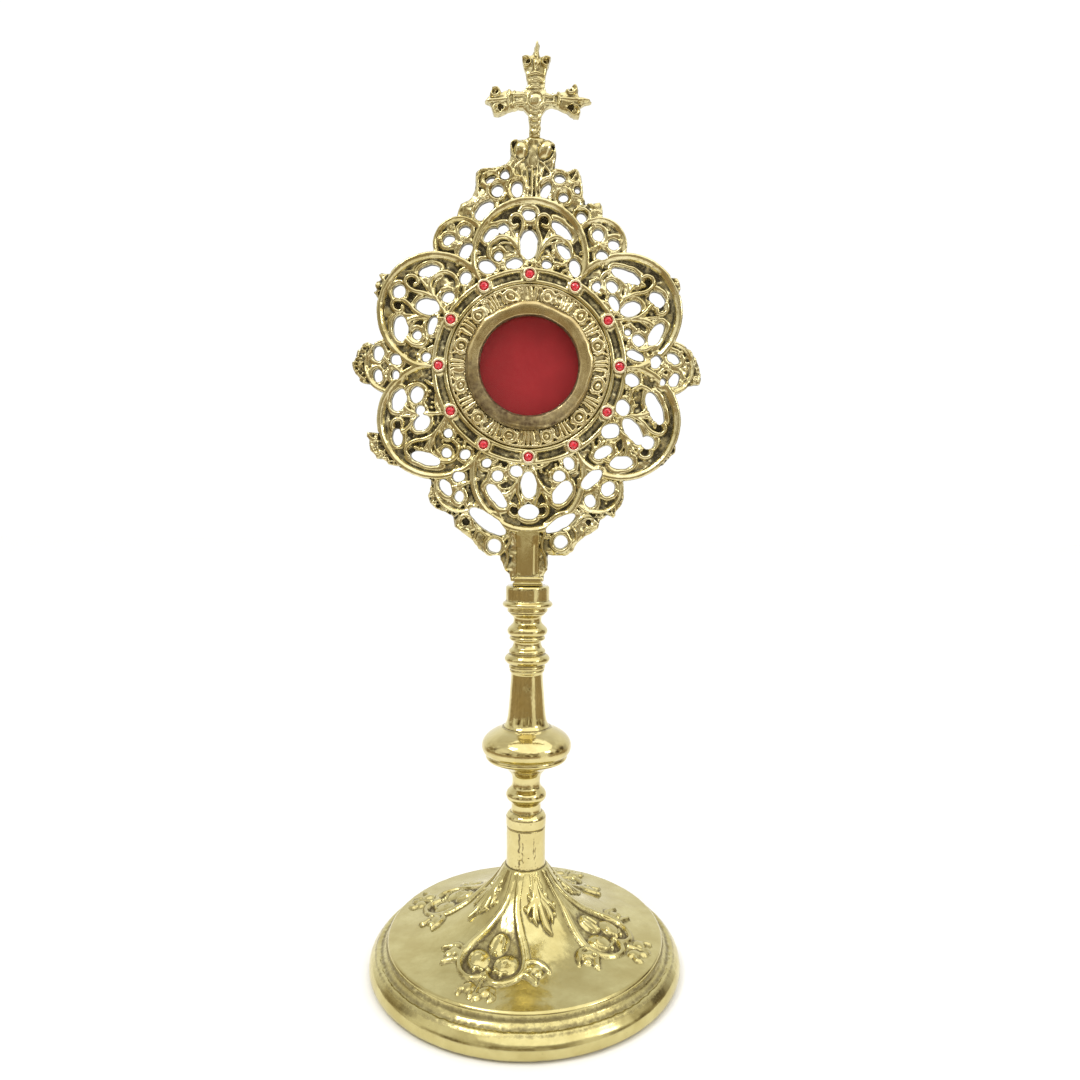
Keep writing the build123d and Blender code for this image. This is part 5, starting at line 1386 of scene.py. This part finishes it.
def brass(name, bright, dark, patina, rough=(0.2, 0.34), patina_and_shade=1.0, cast=0.35, scratch=0.25, pits=0.0, cav="cav", floor_grime=0.0):
    """Cast brass. The mesh's own map of its recesses, where it has one, holds the dark patina, and on some pieces
    painted shade and painted reflection streaks as well.
    """
    m, nt, p = new_material(name)
    N = Nodes(nt)
    blotch = N.noise(90, 3, 0.6)
    fine = N.noise(700, 5, 0.65)
    grain = N.noise(2600, 3, 0.6)
    tone = N.mix(N.ramp(blotch, (0.35, 0.0), (0.66, 1.0)), dark, bright)
    tone = N.mix(N.range(fine, 0.35, 0.75, 0.0, 0.35), tone, dark)
    rough_v = N.range(fine, 0.3, 0.75, rough[0], rough[1])
    fac = None
    if cav:
        c = N.attribute(cav)
        wob = N.math("ADD", c, N.range(fine, 0.3, 0.7, -0.22, 0.22))
        fac = N.ramp(N.math("MULTIPLY", wob, patina_and_shade), (0.22, 0.0), (0.48, 0.55), (0.85, 1.0))
    if floor_grime:
        g = N.ramp(N.noise(160, 5, 0.6), (0.55, 0.0), (0.8, floor_grime))
        fac = g if fac is None else N.math("MAXIMUM", fac, g)
    if pits:
        pt = N.ramp(N.cells(900), (0.05, 1.0), (0.14, 0.0))
        sel = N.ramp(N.noise(260, 2), (0.5, 0.0), (0.62, 1.0))
        pit = N.math("MULTIPLY", N.math("MULTIPLY", pt, sel), pits)
        fac = pit if fac is None else N.math("MAXIMUM", fac, pit)
    if fac is not None:
        # darkens towards the patina colour: patina in hollows, and painted shade where the mesh's map holds it
        tone = N.mix(fac, tone, patina)
        rough_v = N.math("ADD", rough_v, N.math("MULTIPLY", fac, 0.30), clamp=True)
        nt.links.new(N.math("SUBTRACT", 1.0, N.math("MULTIPLY", fac, 0.55)), p.inputs["Metallic"])
    else:
        p.inputs["Metallic"].default_value = 1.0
    nt.links.new(tone, p.inputs["Base Color"])
    nt.links.new(rough_v, p.inputs["Roughness"])
    line = N.noise(420, 2, 0.5, stretch=(1.0, 1.0, 14.0))
    h = N.math("ADD", N.math("MULTIPLY", grain, 0.35), N.math("MULTIPLY", fine, 0.65))
    nrm = N.bump(h, cast, 0.00012)
    if scratch:
        nrm = N.bump(line, scratch, 0.00005, nrm)
    if pits:
        nrm = N.bump(N.math("SUBTRACT", 1.0, pit), 0.6, 0.00015, nrm)
    nt.links.new(nrm, p.inputs["Normal"])
    return m


def sheet_metal(name, base, second, rough, stretch, metallic=1.0, scratch=0.3):
    """Drawn or rolled metal with a grain along one direction."""
    m, nt, p = new_material(name)
    N = Nodes(nt)
    lines = N.noise(300, 4, 0.6, stretch=stretch)
    cloud = N.noise(120, 4, 0.6)
    tone = N.mix(N.range(lines, 0.3, 0.7, 0.0, 1.0), base, second)
    tone = N.mix(N.ramp(cloud, (0.5, 0.0), (0.8, 0.5)), tone, tuple(c * 0.55 for c in base[:3]) + (1.0,))
    nt.links.new(tone, p.inputs["Base Color"])
    nt.links.new(N.range(cloud, 0.3, 0.7, rough[0], rough[1]), p.inputs["Roughness"])
    p.inputs["Metallic"].default_value = metallic
    nt.links.new(N.bump(lines, scratch, 0.00006), p.inputs["Normal"])
    return m


def assign(o, m):
    o.data.materials.clear()
    o.data.materials.append(m)
    o.data.polygons.foreach_set("material_index", np.zeros(len(o.data.polygons), np.int32))

# ------------------------------------------------------------------ object
N_ = frame["nodes"]
mat_head = brass("brass_head", rgb(236, 227, 182), rgb(194, 180, 126), rgb(66, 59, 38), rough=(0.09, 0.2), patina_and_shade=1.2, cast=0.32, scratch=0.0, pits=0.4)
mat_cross = brass("brass_cross", rgb(229, 220, 174), rgb(197, 183, 130), rgb(72, 62, 39), rough=(0.12, 0.24), patina_and_shade=0.85, cast=0.35, scratch=0.0)
mat_band = brass("brass_band", rgb(242, 232, 190), rgb(212, 197, 146), rgb(86, 74, 46), rough=(0.11, 0.24), patina_and_shade=0.85, cast=0.45, scratch=0.0)
mat_bezel = brass("brass_bezel", rgb(224, 208, 158), rgb(176, 154, 103), rgb(80, 61, 35), rough=(0.15, 0.32), patina_and_shade=0.9, cast=0.3, scratch=0.3, floor_grime=0.7)
mat_collet = brass("brass_collet", rgb(250, 244, 214), rgb(238, 228, 184), rgb(88, 74, 46), rough=(0.26, 0.38), patina_and_shade=0.9, cast=0.25, scratch=0.0)
mat_foot = brass("brass_foot", rgb(210, 200, 143), rgb(190, 177, 119), rgb(92, 80, 48), rough=(0.12, 0.23), patina_and_shade=0.9, cast=0.10, scratch=0.0, pits=0.35)
mat_stem = brass("brass_stem", rgb(222, 210, 154), rgb(204, 189, 130), rgb(92, 74, 44), rough=(0.07, 0.15), patina_and_shade=0.8, cast=0.07, scratch=0.0, pits=0.3)

rosette = build_rosette()
assign(rosette, mat_head)
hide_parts("rosette")
tang = build_tang()
assign(tang, mat_stem)
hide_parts("rosette")
cross = build_cross()
assign(cross, mat_cross)
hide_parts("cross")
band = build_band()
assign(band, mat_band)
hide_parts("gadroon_band")
bezel = build_bezel()
assign(bezel, mat_bezel)
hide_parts("bezel")
stones, cups = build_stones()
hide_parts("gem_stones")
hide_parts("gem_collets")
assign(cups, mat_collet)
foot = build_foot()
for vert in foot.data.vertices:
    vert.co.x *= 0.9997
    vert.co.y *= 0.9997
assign(foot, mat_foot)
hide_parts("foot")
for node, piece in build_stem().items():
    assign(piece, mat_stem)
    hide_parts(node)
socket = build_socket()
assign(socket, mat_stem)
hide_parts("head_socket")

# stones: dark red paste over foil
m, nt, p = new_material("paste_red")
N = Nodes(nt)
p.inputs["Roughness"].default_value = 0.06
p.inputs["Specular IOR Level"].default_value = 0.8
p.inputs["Coat Weight"].default_value = 0.6
p.inputs["Coat Roughness"].default_value = 0.03
# the per-facet lighter and darker red is painted light and shade
nt.links.new(N.mix(N.attribute("painted_facet_shade"), rgb(240, 44, 66), rgb(150, 10, 30)), p.inputs["Base Color"])
nt.links.new(N.bump(N.noise(500, 3), 0.05, 0.0001), p.inputs["Normal"])
assign(stones, m)

# red cloth
lining = build_lining()
m, nt, p = new_material("cloth_red")
N = Nodes(nt)
w1 = nt.nodes.new("ShaderNodeTexWave")
w1.inputs["Scale"].default_value = 900
w1.bands_direction = "X"
w1.inputs["Distortion"].default_value = 1.2
w1.inputs["Detail"].default_value = 2
nt.links.new(N.co, w1.inputs["Vector"])
w2 = nt.nodes.new("ShaderNodeTexWave")
w2.inputs["Scale"].default_value = 900
w2.bands_direction = "Z"
w2.inputs["Distortion"].default_value = 1.2
w2.inputs["Detail"].default_value = 2
nt.links.new(N.co, w2.inputs["Vector"])
weave = N.math("MULTIPLY", w1.outputs["Fac"], w2.outputs["Fac"])
base = N.mix(N.range(N.noise(150, 4, 0.6), 0.3, 0.7, 0.0, 1.0), rgb(178, 41, 48), rgb(168, 36, 43))
base = N.mix(N.math("MULTIPLY", weave, 0.12), base, rgb(186, 50, 56))
nt.links.new(base, p.inputs["Base Color"])
nt.links.new(N.range(weave, 0.0, 1.0, 0.85, 0.96), p.inputs["Roughness"])
p.inputs["Sheen Weight"].default_value = 0.08
p.inputs["Sheen Roughness"].default_value = 0.5
nt.links.new(N.bump(weave, 0.15, 0.0001), p.inputs["Normal"])
assign(lining, m)
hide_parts("red_lining")

# carried-over parts
mat_sheet = sheet_metal("brass_sheet", rgb(206, 184, 112), rgb(182, 158, 88), (0.24, 0.4), (1.0, 1.0, 12.0))
for n in ("capsule_tube", "rear_door", "hinge_leaf", "hinge_pin", "door_tab", "glass_ring"):
    assign(N_[n], mat_sheet)
mat_steel = sheet_metal("zinc_steel", rgb(168, 170, 172), rgb(138, 138, 136), (0.3, 0.46), (1.0, 1.0, 5.0))
for n in ("tie_rod", "rod_washer", "rod_nut"):
    assign(N_[n], mat_steel)
m, nt, p = new_material("grey_card")
N = Nodes(nt)
nt.links.new(N.mix(N.range(N.noise(900, 5, 0.7), 0.3, 0.7, 0.0, 1.0), rgb(150, 140, 118), rgb(118, 108, 88)), p.inputs["Base Color"])
nt.links.new(N.range(N.noise(300, 3), 0.3, 0.7, 0.8, 0.95), p.inputs["Roughness"])
nt.links.new(N.bump(N.noise(1500, 4), 0.3, 0.0001), p.inputs["Normal"])
assign(N_["lining_card"], m)
m, nt, p = new_material("clear_glass")
N = Nodes(nt)
p.inputs["Transmission Weight"].default_value = 1.0
p.inputs["Alpha"].default_value = 0.25
p.inputs["IOR"].default_value = 1.46
nt.links.new(N.mix(N.range(N.noise(60, 3), 0.3, 0.7, 0.0, 1.0), (0.99, 1.0, 0.99, 1.0), (0.955, 0.975, 0.96, 1.0)), p.inputs["Base Color"])
nt.links.new(N.range(N.noise(200, 5, 0.7), 0.45, 0.8, 0.0, 0.05), p.inputs["Roughness"])
assign(N_["window_glass"], m)

# ------------------------------------------------------------------ stage
def plane(name, size, at, turn=(0, 0, 0)):
    me = bpy.data.meshes.new(name)
    s = size / 2
    me.from_pydata([(-s, -s, 0), (s, -s, 0), (s, s, 0), (-s, s, 0)], [], [(0, 1, 2, 3)])
    o = bpy.data.objects.new(name, me)
    o.location = at
    o.rotation_euler = turn
    bpy.context.scene.collection.objects.link(o)
    return o


floor = plane("floor", 6.0, (0, 0, -0.0002))
m, nt, p = new_material("pale_floor")
p.inputs["Base Color"].default_value = (0.93, 0.93, 0.93, 1)
p.inputs["Roughness"].default_value = 0.85
floor.data.materials.append(m)


def area(name, at, look, size, power, colour=(1, 1, 1), size_y=None):
    d = bpy.data.lights.new(name, "AREA")
    d.energy = power
    d.color = colour
    d.size = size
    if size_y:
        d.shape = "RECTANGLE"
        d.size_y = size_y
    o = bpy.data.objects.new(name, d)
    bpy.context.scene.collection.objects.link(o)
    o.location = at
    o.rotation_euler = (Vector(look) - Vector(at)).to_track_quat("-Z", "Y").to_euler()
    return o


area("key", (-0.5, -0.45, 1.05), (0, 0, 0.16), 0.3, 3.0)
area("fill", (0.8, -0.5, 0.55), (0, 0, 0.2), 0.22, 1.0)
d = bpy.data.lights.new("overhead", "SUN")
d.energy = 1.15
d.angle = 1.4
o = bpy.data.objects.new("overhead", d)
bpy.context.scene.collection.objects.link(o)
o.rotation_euler = (math.radians(17), math.radians(8), 0)

# white tent on every side, open towards the front onto a dim brown room
world = bpy.data.worlds.new("studio")
bpy.context.scene.world = world
world.use_nodes = True
wt = world.node_tree
wt.nodes.clear()
W = Nodes(wt)
W.co = wt.nodes.new("ShaderNodeTexCoord").outputs["Generated"]
xyz = wt.nodes.new("ShaderNodeSeparateXYZ")
wt.links.new(W.co, xyz.inputs[0])
front = W.range(W.math("MULTIPLY", xyz.outputs[1], -1.0), -0.66, -0.3, 0.0, 1.0)
roof = W.range(xyz.outputs[2], 0.30, 0.64, 0.0, 0.78)
side = W.math("ARCTAN2", xyz.outputs[0], W.math("MULTIPLY", xyz.outputs[1], -1.0))
patch = W.noise(2.1, 3, 0.55, stretch=(2.4, 2.4, 0.9))
room = W.ramp(patch, (0.30, rgb(74, 60, 44)), (0.42, rgb(132, 116, 92)), (0.52, rgb(176, 166, 142)), (0.60, rgb(246, 243, 232)), (0.68, rgb(150, 134, 106)), (0.8, rgb(96, 78, 56)))
# a tall window to the right of the lens and a narrower one far to the left
panes = None
for at, half, soft, level, sill in ((0.80, 0.14, 0.14, 0.95, -0.5), (-1.3, 0.1, 0.16, 0.75, -0.5), (-0.52, 0.04, 0.1, 0.5, -0.5), (1.2, 0.2, 0.14, 1.0, 0.22), (-1.12, 0.24, 0.14, 1.0, 0.22)):
    off = W.math("ABSOLUTE", W.math("SUBTRACT", side, at))
    pane = W.math("MULTIPLY", W.range(off, half, half + soft, level, 0.0), W.range(xyz.outputs[2], sill, sill + 0.12, 0.0, 1.0))
    panes = pane if panes is None else W.math("MAXIMUM", panes, pane)
room = W.mix(W.math("MAXIMUM", panes, roof), room, rgb(255, 252, 244))
sky = W.mix(front, rgb(255, 255, 255), room)
wo = wt.nodes.new("ShaderNodeOutputWorld")
bg = wt.nodes.new("ShaderNodeBackground")
# seen directly, the backdrop is plain white from every side
seen = wt.nodes.new("ShaderNodeLightPath").outputs["Is Camera Ray"]
wt.links.new(W.mix(seen, sky, rgb(255, 255, 255)), bg.inputs[0])
wt.links.new(W.range(xyz.outputs[2], 0.54, 0.72, 1.04, 0.86), bg.inputs[1])
wt.links.new(bg.outputs[0], wo.inputs[0])

# the table's dark front edge, which the stem's reflections pick up
board = plane("table_edge", 5.0, (0, 0, 0.002))
m, nt, p = new_material("table_dark")
N = Nodes(nt)
nt.links.new(N.mix(N.range(N.noise(6, 3), 0.35, 0.65, 0.0, 1.0), rgb(112, 92, 66), rgb(168, 150, 118)), p.inputs["Base Color"])
p.inputs["Roughness"].default_value = 0.8
spot = nt.nodes.new("ShaderNodeSeparateXYZ")
nt.links.new(N.co, spot.inputs[0])
away = N.math("SQRT", N.math("ADD", N.math("MULTIPLY", spot.outputs[0], spot.outputs[0]), N.math("MULTIPLY", spot.outputs[1], spot.outputs[1])))
cosine = N.math("DIVIDE", N.math("MULTIPLY", spot.outputs[1], -1.0), away)
near = N.range(away, 0.14, 0.34, 0.0, 1.0)
wide = N.range(cosine, -0.72, -0.4, 0.0, 1.0)
right = N.math("ARCTAN2", spot.outputs[0], N.math("MULTIPLY", spot.outputs[1], -1.0))
lit = N.range(N.math("ABSOLUTE", N.math("SUBTRACT", right, 0.8)), 0.12, 0.26, 0.15, 1.0)
nt.links.new(N.math("MULTIPLY", N.math("MULTIPLY", near, wide), lit), p.inputs["Alpha"])
board.data.materials.append(m)
board.visible_camera = False
board.visible_diffuse = False
board.visible_shadow = False

cam = bpy.data.cameras.new("camera")
cam.sensor_width = 36.0
cam.lens = 797.47 / 1080 * 36.0
cam.clip_start = 0.01
co = bpy.data.objects.new("camera", cam)
bpy.context.scene.collection.objects.link(co)
co.location = (0.0042, -0.2788, 0.1643)
co.rotation_mode = "QUATERNION"
q = Matrix.Rotation(math.radians(90 - 2.8527), 4, "X") @ Matrix.Rotation(0.00794, 4, "Z")
co.rotation_quaternion = q.to_quaternion()
bpy.context.scene.camera = co
bpy.context.scene.view_settings.view_transform = "Standard"
